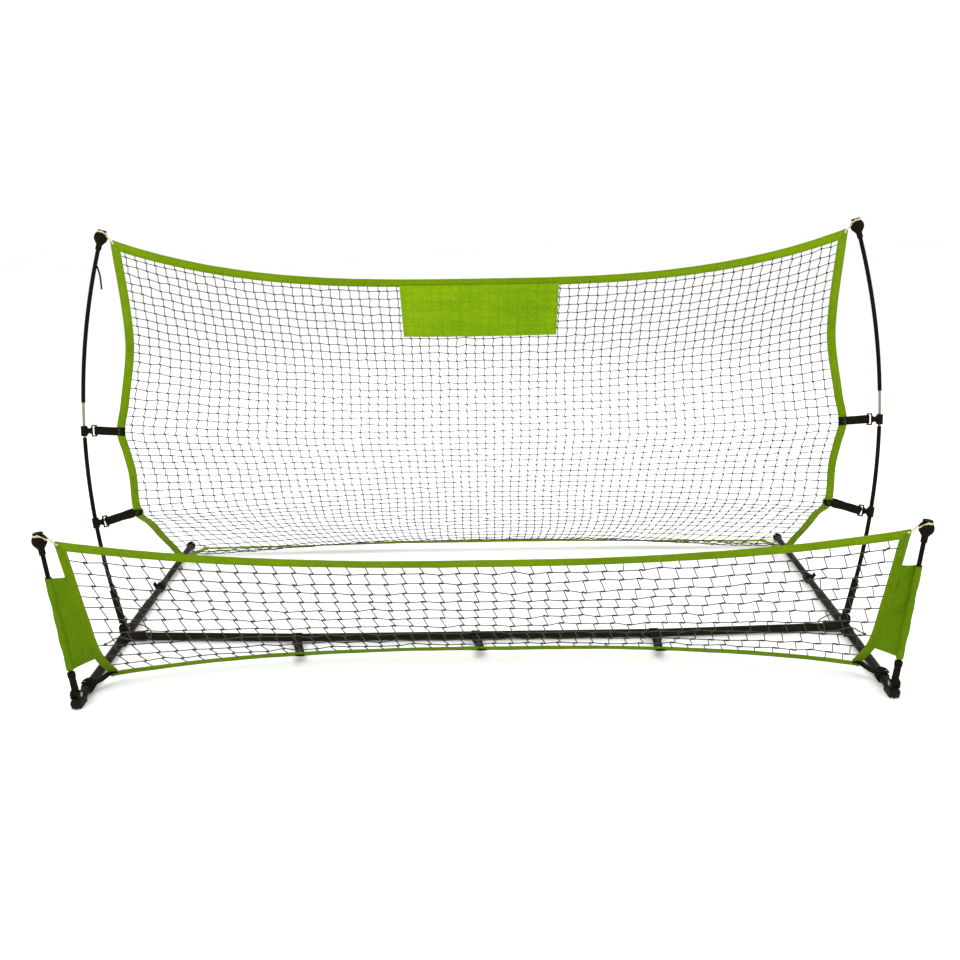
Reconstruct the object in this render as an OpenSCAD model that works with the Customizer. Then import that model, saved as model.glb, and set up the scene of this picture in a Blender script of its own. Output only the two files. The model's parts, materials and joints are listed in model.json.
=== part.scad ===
// Pitch back rebounder: a tubular base with a tall rear net and a low front net.
// X runs across the goal face, Y runs from the front net to the rear net, Z is up, in millimetres.
// The modules work from the cross tube's centre (y = 0); centred() moves them to the part's origin.

/* [Base] */
// Half the distance between the centre lines of the two side rails
hub_x = 1065; // [900:5:1200]
// Front end of the side rails, ahead of the cross tube
rail_front = 440; // [400:5:500]
// Where the thick front rail ends and the thin rear rail goes on
rail_step = 278; // [240:2:320]
// Rear end of the rear rails, behind the cross tube
rail_rear = 835; // [790:5:900]
// Outer diameter of the front rails
rail_d = 25; // [22:1:28]
// Outer diameter of the rear rails
rear_rail_d = 20; // [18:1:21]
// Outer diameter of the cross tube
cross_d = 24; // [22:1:25]
// Wall of every base tube
tube_wall = 1.5; // [1:0.1:2]
// Height of the tube centre lines above the ground
rail_z = 15; // [14.5:0.5:18]
// How far the middle of the cross tube is pulled forward
cross_bow = 30; // [0:1:40]
// Distance from the centre to each joint of the cross tube
cross_joint_x = 530; // [400:5:700]

/* [Rear poles] */
// Height of the rear fold axis above the ground
rear_pivot_z = 40; // [38:1:46]
// Backward lean of the rear poles, in degrees
lean_back = 12; // [5:1:20]
// Outward tilt of the rear pole sockets, in degrees
splay = 15; // [8:1:18]
// Length of the socket from the fold axis, measured up the pole's plane
socket_height = 115; // [90:5:150]
// Height of the top cap's centre up the pole's plane
pole_height = 1145; // [1000:5:1200]
// Diameter of the black pole sections
pole_d = 12; // [10:1:13]
// Diameter of the bare rod between two pole sections
rod_d = 8; // [6:1:9]
// Top end of the lower pole section, up the pole's plane
lower_end = 565; // [530:1:567]
// Bottom end of the upper pole section, up the pole's plane
upper_start = 668; // [640:1:700]
// Height of the middle clip up the pole's plane
mid_clip_height = 585; // [582:1:620]
// Height of the low clip up the pole's plane
low_clip_height = 314; // [250:1:360]

/* [Front poles] */
// Height of the front fold axis above the ground
front_pivot_z = 38; // [36:1:44]
// Outward tilt of the front poles, in degrees
front_splay = 6.5; // [3:0.5:9]
// Distance from the front fold axis to the centre of the ball cap
front_pole_length = 424; // [380:1:460]
// Length of the front socket from the fold axis
front_socket_length = 62; // [60:1:100]

/* [Nets] */
// Width of the sewn binding round both nets
binding_w = 25; // [20:1:30]
// Width of the webbing straps
webbing_w = 25; // [20:1:30]
// Thickness of the net panels
net_t = 2; // [1.6:0.1:3]
// Thickness of the folded binding
binding_t = 3.2; // [2.8:0.1:4]
// Width of the plain patch below the top binding
patch_w = 465; // [300:5:600]
// Height of the plain patch
patch_h = 170; // [100:5:220]

/* [Hidden] */

// Fits and small sizes
$fn = 48;
fit = 0.1;
eps = 0.01;
body_gap = 0.5;

// Base
cap_length = 14;
centre_y = (rail_rear + cap_length - rail_front - 22) / 2;
bow_angle = atan(cross_bow / (hub_x - cross_joint_x));
rail_bore = rail_d - 2 * tube_wall;
cross_bore = cross_d - 2 * tube_wall;
plug_length = 60;
hub_length = 90;
hub_d = 29.6;
stub_length = 60;
stub_d = 29;
stub_floor = 16;
pad_w = 26;
pad_h = 8;

// Fold joints
pin_d = 8;
pin_head_d = 13;
pin_head_t = 2.5;
tongue_t = 12;
ear_t = 6;
ear_gap = 0.3;
rear_ear_r = 12;
front_ear_r = 11;
through = 40; // longer than any bore across a fitting
// Radius of each fold tongue, which clears the sleeve below it
foot_sleeve_d = rail_d + 4;
rear_tongue_r = rear_pivot_z - rail_z - hub_d / 2 - body_gap;
front_tongue_r = front_pivot_z - rail_z - foot_sleeve_d / 2 - body_gap;
socket_d = 20;
front_socket_d = 18;
bore_start = 40;

// The rear pole is a circular arc that is tangent to its socket
pole_chord = pole_height - socket_height;
pole_r = pole_chord / 2 / sin(splay);
arc_x = socket_height * tan(splay) - pole_r * cos(splay);
arc_z = socket_height + pole_chord / 2;
function arc_angle(height) = asin((height - arc_z) / pole_r);

// Knots from the top of the back net to its bottom, its side edge and its centre line.
// The edge bows in between the top cap and the two clips, then sweeps back to the rail's end.
back_knots = [0, 0.25, 0.4, 0.467, 0.53, 0.6, 0.711, 0.79, 0.86, 0.905, 0.945, 1];
back_edge = [
    [1070, 241, 1153], [1038, 188, 866], [1062, 159, 683], [1076, 146, 604], [1060, 132, 542],
    [1044, 118, 480], [1032, 98, 368], [1054, 290, 272], [1066, 440, 182], [1062, 530, 118],
    [1046, 610, 55], [1006, 800, 19]
];
back_centre = [
    [0, 222, 1027], [0, 332, 742], [0, 408, 572], [0, 444, 498], [0, 479, 432],
    [0, 520, 361], [0, 593, 252], [0, 652, 179], [0, 708, 118], [0, 746, 80],
    [0, 781, 49], [0, 822, 19]
];
// The same for the front net
front_knots = [0, 0.25, 0.5, 0.78, 1];
front_edge = [
    [1078, -440, 458], [1062, -428, 350], [1050, -412, 255], [1034, -378, 122], [1018, -286, 19]
];
front_centre = [
    [0, -420, 384], [0, -366, 286], [0, -301, 191], [0, -217, 86], [0, -145, 19]
];
// How far the strings of the back net sweep towards the middle near its bottom edge
sweep_size = 0.3;
sweep_start = 0.6;

// Sizes of the small fittings
cap_ball_r = 19.5;
cap_neck_d = 17;
cap_neck_length = 23;
cap_disc_d = 26;
elastic_d = 4;
clip_block = 30;
bar_w = 35;
bar_t = 6;
bar_reach = 36;
end_bar = 4;
slot_h = 8;
strap_t = 2;
// Where each cross strap loops round the cross tube, and where it is sewn to the front net
left_strap_x = -548;
left_hem_x = -545;
middle_strap_x = -25;
middle_hem_x = -9;
right_strap_x = 497;
right_hem_x = 520;

function knot_span(knots, v, i = 0) =
    i >= len(knots) - 2 || v < knots[i + 1] ? i : knot_span(knots, v, i + 1);
function knot_slope(knots, points, i) =
    let (a = max(i - 1, 0), b = min(i + 1, len(knots) - 1))
    (points[b] - points[a]) / (knots[b] - knots[a]);
// The smooth curve through the points, each at its knot
function along(knots, points, v) =
    let (
        i = knot_span(knots, v),
        h = knots[i + 1] - knots[i],
        t = (v - knots[i]) / h,
        m = knot_slope(knots, points, i) * h,
        n = knot_slope(knots, points, i + 1) * h
    )
    (2 * pow(t, 3) - 3 * t * t + 1) * points[i] + (pow(t, 3) - 2 * t * t + t) * m
    + (3 * t * t - 2 * pow(t, 3)) * points[i + 1] + (pow(t, 3) - t * t) * n;
// A point of a net: u runs from -1 to 1 across it and v from 0 at the top to 1 at the bottom
function net_point(edge, centre, share, x_share) =
    [edge[0] * x_share, centre[1] + (edge[1] - centre[1]) * share,
     centre[2] + (edge[2] - centre[2]) * share];
function sweep(u, v) =
    v < sweep_start ? 0
    : sweep_size * sign(u) * u * u * (1 - pow(u, 6))
        * pow((v - sweep_start) / (1 - sweep_start), 2.5);
function back_point(u, v) =
    net_point(along(back_knots, back_edge, v), along(back_knots, back_centre, v),
              pow(abs(u), 2.2 + 0.8 * pow(1 - v, 3)), u - sweep(u, v));
function front_point(u, v) =
    net_point(along(front_knots, front_edge, v), along(front_knots, front_centre, v),
              pow(abs(u), 2.5 + 0.3 * v), u);

// Direction that the net panels are thick in
panel_normal = [0, cos(32), sin(32)];

module centred() {
    translate([0, -centre_y, 0])
        children();
}

// side is 1 for the right half and -1 for its mirror image
module half(side) {
    centred()
        if (side > 0)
            children();
        else
            mirror([1, 0, 0])
                children();
}

module along_y(y0, y1, d) {
    translate([0, y0, 0])
        rotate([-90, 0, 0])
            cylinder(h = y1 - y0, d = d);
}

module along_x(x0, x1, d) {
    translate([x0, 0, 0])
        rotate([0, 90, 0])
            cylinder(h = x1 - x0, d = d);
}

module y_tube(y0, y1, d, bore) {
    difference() {
        along_y(y0, y1, d);
        along_y(y0 - 1, y1 + 1, bore);
    }
}

// A frame at the right hub, whose +X runs along the outer cross tube section towards the middle
module along_cross_section() {
    translate([hub_x, 0, rail_z])
        rotate([0, 0, 180 + bow_angle])
            children();
}

// A thin closed panel on a grid of points
module panel(grid, t) {
    rows = len(grid);
    cols = len(grid[0]);
    n = rows * cols;
    front = [for (row = grid) for (p = row) p - panel_normal * t / 2];
    back = [for (row = grid) for (p = row) p + panel_normal * t / 2];
    top_faces = [for (i = [0 : rows - 2]) for (j = [0 : cols - 2])
        each [[i * cols + j, i * cols + j + 1, (i + 1) * cols + j + 1],
              [i * cols + j, (i + 1) * cols + j + 1, (i + 1) * cols + j]]];
    back_faces = [for (f = top_faces) [n + f[2], n + f[1], n + f[0]]];
    rim = concat([for (j = [0 : cols - 1]) j],
                 [for (i = [1 : rows - 1]) i * cols + cols - 1],
                 [for (j = [cols - 2 : -1 : 0]) (rows - 1) * cols + j],
                 [for (i = [rows - 2 : -1 : 1]) i * cols]);
    rim_faces = [for (k = [0 : len(rim) - 1])
        let (a = rim[k], b = rim[(k + 1) % len(rim)])
        each [[b, a, n + a], [b, n + a, n + b]]];
    polyhedron(concat(front, back), concat(top_faces, back_faces, rim_faces), convexity = 6);
}

// A closed loop of binding between an outer and an inner loop of points
module loop_band(outer, inner, t) {
    n = len(outer);
    rings = [for (k = [0 : n - 1]) each [
        outer[k] - panel_normal * t / 2, inner[k] - panel_normal * t / 2,
        inner[k] + panel_normal * t / 2, outer[k] + panel_normal * t / 2]];
    faces = [for (k = [0 : n - 1]) for (m = [0 : 3])
        let (a = 4 * k + m, b = 4 * k + (m + 1) % 4,
             c = 4 * ((k + 1) % n) + (m + 1) % 4, d = 4 * ((k + 1) % n) + m)
        each [[a, b, c], [a, c, d]]];
    polyhedron(rings, faces, convexity = 8);
}

// A tube swept along a list of points, thin enough for a ring that keeps one direction
module swept(points, d, sides = 8) {
    last = len(points) - 1;
    rings = [for (i = [0 : last])
        let (
            run = points[min(i + 1, last)] - points[max(i - 1, 0)],
            z = run / norm(run),
            up = abs(z[2]) < 0.8 ? [0, 0, 1] : [1, 0, 0],
            x = cross(up, z) / norm(cross(up, z)),
            y = cross(z, x)
        )
        for (k = [0 : sides - 1])
            points[i] + d / 2 * (x * cos(360 * k / sides) + y * sin(360 * k / sides))];
    skin = [for (i = [0 : last - 1]) for (k = [0 : sides - 1])
        let (a = i * sides + k, b = i * sides + (k + 1) % sides)
        each [[a, a + sides, b + sides], [a, b + sides, b]]];
    ends = [[for (k = [0 : sides - 1]) k],
            [for (k = [sides - 1 : -1 : 0]) last * sides + k]];
    polyhedron(rings, concat(skin, ends), convexity = 6);
}

// A flat strap from one point to another; across is its width direction
module strap(a, b, across, w, t) {
    run = (b - a) / norm(b - a);
    side = across / norm(across) * w / 2;
    thick = cross(run, side) / norm(cross(run, side)) * t / 2;
    points = [a - side - thick, a + side - thick, a + side + thick, a - side + thick,
              b - side - thick, b + side - thick, b + side + thick, b - side + thick];
    polyhedron(points, [[0, 1, 2, 3], [7, 6, 5, 4], [0, 4, 5, 1], [1, 5, 6, 2], [2, 6, 7, 3],
                        [3, 7, 4, 0]]);
}

// ---- Base ----

module cross_tube(side) {
    color("#141210")
        half(side)
            intersection() {
                along_cross_section()
                    difference() {
                        along_x(stub_floor + 2, hub_x, cross_d);
                        along_x(0, hub_x + 1, cross_bore);
                    }
                translate([cross_joint_x, -hub_x / 2, 0])
                    cube([hub_x, hub_x, 3 * rail_d]);
            }
}

module cross_tube_left() {
    cross_tube(-1);
}

module cross_tube_right() {
    cross_tube(1);
}

module cross_tube_middle() {
    color("#141210")
        centred()
            translate([0, -cross_bow, rail_z])
                difference() {
                    along_x(-cross_joint_x, cross_joint_x, cross_d);
                    along_x(-hub_x, hub_x, cross_bore);
                }
}

// Plugs that join the cross tube's sections, each curved round the slight bend there
module cross_spigots() {
    bend_r = plug_length / tan(bow_angle / 2);
    color("#8d8a84")
        for (side = [-1, 1])
            half(side)
                translate([cross_joint_x - plug_length, bend_r - cross_bow, rail_z])
                    rotate([0, 0, -90])
                        rotate_extrude(angle = bow_angle, $fn = 360)
                            translate([bend_r, 0])
                                circle(d = cross_bore - 2, $fn = 24);
}

// Corner fitting: a sleeve on the rail, a stub for the cross tube and two ears for the socket
module hub(side) {
    color("#181612")
        half(side)
            difference() {
                union() {
                    translate([hub_x, 0, rail_z])
                        along_y(-hub_length / 2, hub_length / 2, hub_d);
                    translate([hub_x - pad_w / 2, -hub_length / 2, 0])
                        cube([pad_w, hub_length, pad_h]);
                    along_cross_section()
                        along_x(0, stub_length, stub_d);
                    translate([hub_x, 0, 0])
                        ears(rear_pivot_z, rear_ear_r);
                }
                translate([hub_x, 0, rail_z])
                    along_y(-hub_length, hub_length, rail_d + 2 * fit);
                along_cross_section()
                    along_x(stub_floor, 2 * stub_length, cross_d + 2 * fit);
                translate([hub_x, 0, rear_pivot_z])
                    along_x(-through, through, pin_d + 2 * fit);
            }
}

// Two ears round a fold axis that runs along X, standing on the rail's sleeve
module ears(pivot_z, r) {
    for (x = [-tongue_t / 2 - ear_gap - ear_t, tongue_t / 2 + ear_gap]) {
        translate([0, 0, pivot_z])
            along_x(x, x + ear_t, 2 * r);
        translate([x, -r, rail_z + rail_d / 2 + fit + 0.5])
            cube([ear_t, 2 * r, pivot_z - rail_z - rail_d / 2 - fit - 0.5]);
    }
}

module hub_left() {
    hub(-1);
}

module hub_right() {
    hub(1);
}

// A fold pin with a round head at each end
module fold_pin(pivot_z) {
    reach = tongue_t / 2 + ear_gap + ear_t;
    translate([0, 0, pivot_z]) {
        along_x(-reach - 1, reach + 1, pin_d);
        for (m = [0, 1])
            mirror([m, 0, 0])
                along_x(reach + 0.1, reach + 0.1 + pin_head_t, pin_head_d);
    }
}

module hub_pins() {
    color("#a9a59c")
        for (side = [-1, 1])
            half(side)
                translate([hub_x, 0, 0])
                    fold_pin(rear_pivot_z);
}

module front_pins() {
    color("#a9a59c")
        for (side = [-1, 1])
            half(side)
                translate([hub_x, -rail_front, 0])
                    fold_pin(front_pivot_z);
}

// Elastic cord that is tied from the rail, over the hub, to the cross tube
lashing_route = [
    [hub_x + 40, -64, 16], [hub_x + 26, -58, 22], [hub_x + 14, -54, 29], [hub_x, -52, 32],
    [hub_x - 14, -50, 28], [hub_x - 30, -40, 20], [hub_x - 46, -28, 12], [hub_x - 62, -24, 10],
    [hub_x - 76, -26, 14], [hub_x - 84, -24, 24], [hub_x - 82, -12, 33], [hub_x - 74, 4, 34],
    [hub_x - 56, 26, 33], [hub_x - 36, 46, 32], [hub_x - 16, 58, 31], [hub_x, 62, 31],
    [hub_x + 14, 60, 28], [hub_x + 22, 56, 20]
];

module hub_lashings() {
    color("#1a1815")
        for (side = [-1, 1])
            half(side)
                swept(lashing_route, elastic_d);
}

module rail(side) {
    color("#141210")
        half(side)
            translate([hub_x, 0, rail_z])
                y_tube(-rail_front + 14, rail_step, rail_d, rail_bore);
}

module rail_left() {
    rail(-1);
}

module rail_right() {
    rail(1);
}

module rear_rail(side) {
    color("#141210")
        half(side)
            translate([hub_x, 0, rail_z])
                y_tube(rail_step - plug_length, rail_rear, rear_rail_d,
                       rear_rail_d - 2 * tube_wall);
}

module rear_rail_left() {
    rear_rail(-1);
}

module rear_rail_right() {
    rear_rail(1);
}

// Moulded front end of a rail, with a round nose and two ears for the front pole's knuckle
module front_foot(side) {
    color("#181612")
        half(side)
            translate([hub_x, -rail_front, 0])
                difference() {
                    union() {
                        translate([0, 0, rail_z]) {
                            along_y(-8, 40, foot_sleeve_d);
                            translate([0, -8, 0])
                                sphere(d = foot_sleeve_d - 0.5);
                        }
                        translate([-pad_w / 2, -8, 0])
                            cube([pad_w, 48, pad_h]);
                        ears(front_pivot_z, front_ear_r);
                    }
                    translate([0, 0, rail_z])
                        along_y(13, 60, rail_d + 2 * fit);
                    translate([0, 0, front_pivot_z])
                        along_x(-through, through, pin_d + 2 * fit);
                }
}

module front_foot_left() {
    front_foot(-1);
}

module front_foot_right() {
    front_foot(1);
}

// Cap with a flange on the rear end of a rear rail, cut flat where it stands on the ground
module rear_end_cap(side) {
    flange_d = 2 * rail_z + 1;
    color("#181612")
        half(side)
            translate([hub_x, 0, rail_z])
                intersection() {
                    union() {
                        along_y(rail_rear - 18, rail_rear, rear_rail_d - 2 * tube_wall - 2 * fit);
                        along_y(rail_rear, rail_rear + 3, flange_d);
                        along_y(rail_rear + 3, rail_rear + 9, rear_rail_d);
                        along_y(rail_rear + 9, rail_rear + cap_length, flange_d - 5);
                    }
                    translate([-rail_d, rail_rear - plug_length, -rail_z])
                        cube([2 * rail_d, 2 * plug_length, 4 * rail_z]);
                }
}

module rear_end_cap_left() {
    rear_end_cap(-1);
}

module rear_end_cap_right() {
    rear_end_cap(1);
}

// Elastic loops from the grooves of the rear end caps to the corners of the back net
corner_route = [
    [hub_x - 12, rail_rear + 6, 14], [hub_x - 20, rail_rear + 4, 15],
    [hub_x - 32, rail_rear - 4, 17], [hub_x - 44, rail_rear - 16, 18], [hub_x - 55, rail_rear - 28, 19]
];

module rear_corner_elastics() {
    color("#e4dcc4")
        for (side = [-1, 1])
            half(side)
                swept(corner_route, elastic_d);
}

// Webbing cuff that is wrapped round a rear rail, with a short free tail
module rear_rail_cuff(side) {
    y = 411;
    color("#1a1815")
        half(side)
            translate([hub_x, 0, rail_z]) {
                y_tube(y - 15, y + 15, rear_rail_d + 6, rear_rail_d + 2 * fit);
                translate([12, y - webbing_w / 2, -2])
                    rotate([0, -35, 0])
                        cube([24, webbing_w, strap_t]);
            }
}

module rear_rail_cuff_left() {
    rear_rail_cuff(-1);
}

module rear_rail_cuff_right() {
    rear_rail_cuff(1);
}

// Centre of the cross tube at a place along X, and its turn about Z there
function cross_tube_y(x) = -cross_bow * min(1, (hub_x - abs(x)) / (hub_x - cross_joint_x));
function cross_tube_turn(x) = abs(x) > cross_joint_x ? sign(x) * bow_angle : 0;

// Webbing strap that loops round the cross tube and runs to the front net's bottom binding
module cross_strap(tube_x, hem_x) {
    tube = [tube_x, cross_tube_y(tube_x), rail_z];
    hem = front_point(abs(hem_x) / hub_x, 1);
    color("#1a1815")
        centred() {
            translate(tube)
                rotate([0, 0, cross_tube_turn(tube_x)])
                    difference() {
                        along_x(-webbing_w / 2, webbing_w / 2, cross_d + 2 * strap_t);
                        along_x(-webbing_w, webbing_w, cross_d + 2 * fit);
                    }
            strap(tube - [0, cross_d / 2 + 1, 0], [hem_x, hem[1] + 3, hem[2]],
                  [1, 0, 0], webbing_w, strap_t);
        }
}

module cross_strap_left() {
    cross_strap(left_strap_x, left_hem_x);
}

module cross_strap_middle() {
    cross_strap(middle_strap_x, middle_hem_x);
}

module cross_strap_right() {
    cross_strap(right_strap_x, right_hem_x);
}

// Strap with a cuff round the rail that ties down a bottom corner of the front net
module front_corner_strap(side) {
    y = -345;
    corner = front_point(1, 1);
    color("#1a1815")
        half(side) {
            translate([hub_x, 0, rail_z])
                y_tube(y - 16, y + 16, rail_d + 6, rail_d + 2 * fit);
            strap([corner[0] + 4, corner[1] - 6, corner[2]], [hub_x - 17, y + 4, rail_z + 6],
                  [0.3, 0.95, 0], 20, strap_t);
        }
}

module front_corner_strap_left() {
    front_corner_strap(-1);
}

module front_corner_strap_right() {
    front_corner_strap(1);
}

// ---- Nets ----

// Values from -1 to 1 that leave room for the binding at both ends
function spread(n, edge) = [for (i = [0 : n]) (2 * i / n - 1) * (1 - edge)];
function depth(n, edge) = [for (i = [0 : n]) edge + i / n * (1 - 2 * edge)];

back_u = binding_w / hub_x;
back_v = binding_w / 1180;
front_u = binding_w / hub_x;
front_v = binding_w / 460;
back_across = spread(28, back_u);
back_down = depth(24, back_v);
front_across = spread(24, front_u);
front_down = depth(10, front_v);

module back_net() {
    color("#26241f")
        centred()
            panel([for (v = back_down) [for (u = back_across) back_point(u, v)]], net_t);
}

module front_net() {
    color("#26241f")
        centred()
            panel([for (v = front_down) [for (u = front_across) front_point(u, v)]], net_t);
}

// The (u, v) stations once round a net's inner edge, and the outer edge beyond them
function loop_stations(across, down) = concat(
    [for (u = across) [u, down[0]]],
    [for (i = [1 : len(down) - 1]) [across[len(across) - 1], down[i]]],
    [for (i = [len(across) - 2 : -1 : 0]) [across[i], down[len(down) - 1]]],
    [for (i = [len(down) - 2 : -1 : 1]) [across[0], down[i]]]);
function outwards(value, low, high, to_low, to_high) =
    value <= low + eps / 100 ? to_low : value >= high - eps / 100 ? to_high : value;
function outer_station(s, edge_u, edge_v) = [
    outwards(s[0], edge_u - 1, 1 - edge_u, -1, 1), outwards(s[1], edge_v, 1 - edge_v, 0, 1)];

module back_binding() {
    stations = loop_stations(back_across, back_down);
    color("#86b312")
        centred()
            loop_band([for (s = stations)
                           let (o = outer_station(s, back_u, back_v)) back_point(o[0], o[1])],
                      [for (s = stations) back_point(s[0], s[1])], binding_t);
}

module front_binding() {
    stations = loop_stations(front_across, front_down);
    color("#86b312")
        centred()
            loop_band([for (s = stations)
                           let (o = outer_station(s, front_u, front_v)) front_point(o[0], o[1])],
                      [for (s = stations) front_point(s[0], s[1])], binding_t);
}

// Plain fabric patch that is sewn to the front of the back net below its top binding
module back_patch() {
    top = back_v + 0.002;
    bottom = back_v + patch_h / 1180;
    reach = patch_w / 2 / hub_x;
    offset_front = panel_normal * (net_t / 2 + 1);
    color("#86b312")
        centred()
            panel([for (i = [0 : 4]) [for (j = [-5 : 5])
                       back_point(reach * j / 5, top + (bottom - top) * i / 4) - offset_front]], 1.2);
}

// ---- Rear poles ----

// A frame at the right rear fold axis, whose XZ plane holds the pole
module in_pole_plane(side) {
    half(side)
        translate([hub_x, 0, rear_pivot_z])
            rotate([-lean_back, 0, 0])
                children();
}

// A length of the pole's arc, between two heights up the pole's plane
module pole_arc(from, to, d) {
    translate([arc_x, 0, arc_z])
        rotate([90, 0, 0])
            rotate([0, 0, arc_angle(from)])
                rotate_extrude(angle = arc_angle(to) - arc_angle(from), $fn = 360)
                    translate([pole_r, 0])
                        circle(d = d, $fn = 24);
}

// A frame on the pole: +Z runs up it and +X points outwards
module on_pole(height) {
    translate([arc_x, 0, arc_z])
        rotate([0, -arc_angle(height), 0])
            translate([pole_r, 0, 0])
                children();
}

module rear_socket(side) {
    length = socket_height / cos(splay);
    color("#181612")
        in_pole_plane(side)
            difference() {
                union() {
                    along_x(-tongue_t / 2, tongue_t / 2, 2 * rear_tongue_r);
                    translate([-tongue_t / 2, -8, 0])
                        cube([tongue_t, 16, 24]);
                    rotate([0, splay, 0])
                        translate([0, 0, 17])
                            cylinder(h = length - 17, d = socket_d);
                }
                rotate([0, splay, 0])
                    translate([0, 0, bore_start])
                        cylinder(h = length, d = pole_d + 2 * fit);
                along_x(-through, through, pin_d + 2 * fit);
            }
}

module rear_socket_left() {
    rear_socket(-1);
}

module rear_socket_right() {
    rear_socket(1);
}

module lower_pole(side) {
    length = socket_height / cos(splay);
    color("#141210")
        in_pole_plane(side)
            difference() {
                union() {
                    rotate([0, splay, 0])
                        translate([0, 0, bore_start + 2])
                            cylinder(h = length - bore_start - 2, d = pole_d);
                    pole_arc(socket_height, lower_end, pole_d);
                }
                pole_arc(lower_end - 50, lower_end + 10, rod_d + 2 * fit);
            }
}

module lower_pole_left() {
    lower_pole(-1);
}

module lower_pole_right() {
    lower_pole(1);
}

// Bare rod that plugs into both pole sections
module pole_rod(side) {
    color("#b9a888")
        in_pole_plane(side)
            pole_arc(lower_end - 48, upper_start + 48, rod_d);
}

module pole_rod_left() {
    pole_rod(-1);
}

module pole_rod_right() {
    pole_rod(1);
}

module upper_pole(side) {
    color("#141210")
        in_pole_plane(side)
            difference() {
                pole_arc(upper_start, pole_height - 12, pole_d);
                pole_arc(upper_start - 10, upper_start + 50, rod_d + 2 * fit);
            }
}

module upper_pole_left() {
    upper_pole(-1);
}

module upper_pole_right() {
    upper_pole(1);
}

// Bulb-shaped cap with a collar below and a grooved disc on top; the ball's centre is at z = 0
module bulb_cap(bore_depth) {
    difference() {
        union() {
            rotate_extrude()
                intersection() {
                    circle(r = cap_ball_r);
                    translate([0, -cap_ball_r])
                        square([cap_ball_r, 2 * cap_ball_r - 6]);
                }
            translate([0, 0, -cap_ball_r - cap_neck_length + 6])
                cylinder(h = cap_neck_length, d = cap_neck_d);
            translate([0, 0, -cap_ball_r - 2])
                cylinder(h = 12, d1 = cap_neck_d, d2 = 1.75 * cap_ball_r, $fn = 48);
            cylinder(h = cap_ball_r - 1, d = 16);
            translate([0, 0, cap_ball_r - 2])
                cylinder(h = 4, d = cap_disc_d);
        }
        translate([0, 0, -cap_ball_r - cap_neck_length - 1])
            cylinder(h = bore_depth, d = pole_d + 2 * fit + 0.3);
    }
}

module top_cap(side) {
    color("#181612")
        in_pole_plane(side)
            on_pole(pole_height)
                bulb_cap(33);
}

module top_cap_left() {
    top_cap(-1);
}

module top_cap_right() {
    top_cap(1);
}

// Elastic loop from the groove of a top cap to the corner of the back net, on the pole's side
module top_elastic(side) {
    color("#e4dcc4")
        in_pole_plane(side)
            on_pole(pole_height) {
                translate([0, 0, cap_ball_r - 4.4])
                    difference() {
                        cylinder(h = 2.2, d = 24);
                        translate([0, 0, -1])
                            cylinder(h = 5, d = 16 + 2 * fit);
                    }
                swept([[-10.5, 1, 15.6], [-16, 1, 15.2], [-22, 1, 11], [-28, 1, 6]], 3);
            }
}

module top_elastic_left() {
    top_elastic(-1);
}

module top_elastic_right() {
    top_elastic(1);
}

// One-piece pole clip: a block on the pole, a neck and a bar with a slot for the webbing
module pole_clip(d) {
    difference() {
        union() {
            translate([0, 0, -clip_block / 2])
                cylinder(h = clip_block, d = 20);
            translate([-21, -5, -clip_block / 2 + 5])
                cube([16, 10, clip_block - 10]);
            translate([-bar_reach, -bar_t / 2, -bar_w / 2])
                cube([17, bar_t, bar_w]);
        }
        translate([0, 0, -clip_block])
            cylinder(h = 2 * clip_block, d = d + 2 * fit);
        translate([-bar_reach + end_bar, -bar_t, -webbing_w / 2 - 1])
            cube([slot_h, 2 * bar_t, webbing_w + 2]);
        for (z = [-1, 1])
            translate([-14.5, 0, z * (clip_block / 2 - 1)])
                rotate([90, 0, 0])
                    cylinder(h = 20, d = 13, center = true);
    }
}

// A clip turned about the pole, so that its bar faces the binding
module turned_clip(height, turn) {
    on_pole(height)
        rotate([0, 0, turn])
            children();
}

mid_turn = -8;
low_turn = -4;

module mid_clip(side) {
    color("#181612")
        in_pole_plane(side)
            turned_clip(mid_clip_height, mid_turn)
                pole_clip(rod_d);
}

module mid_clip_left() {
    mid_clip(-1);
}

module mid_clip_right() {
    mid_clip(1);
}

module low_clip(side) {
    color("#181612")
        in_pole_plane(side)
            turned_clip(low_clip_height, low_turn)
                pole_clip(pole_d);
}

module low_clip_left() {
    low_clip(-1);
}

module low_clip_right() {
    low_clip(1);
}

// Place on the right rear pole, out from its centre line and back from its plane
function pole_place(height, out, back = 0) =
    let (
        t = arc_angle(height),
        x = arc_x + (pole_r + out) * cos(t),
        z = arc_z + (pole_r + out) * sin(t)
    )
    [hub_x + x, z * sin(lean_back) + back * cos(lean_back),
     rear_pivot_z + z * cos(lean_back) - back * sin(lean_back)];
function unit(v) = v / norm(v);

// Webbing wrapped round the end bar of a clip, with a gap all round
module bar_wrap() {
    inner = [end_bar + 2 * fit + body_gap, bar_t + 2 * fit + body_gap];
    outer = inner + 2 * [strap_t, strap_t];
    translate([end_bar / 2 - bar_reach, 0, -webbing_w / 2])
        difference() {
            translate([-outer[0] / 2, -outer[1] / 2, 0])
                cube([outer[0], outer[1], webbing_w]);
            translate([-inner[0] / 2, -inner[1] / 2, -1])
                cube([inner[0], inner[1], webbing_w + 2]);
        }
}

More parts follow.
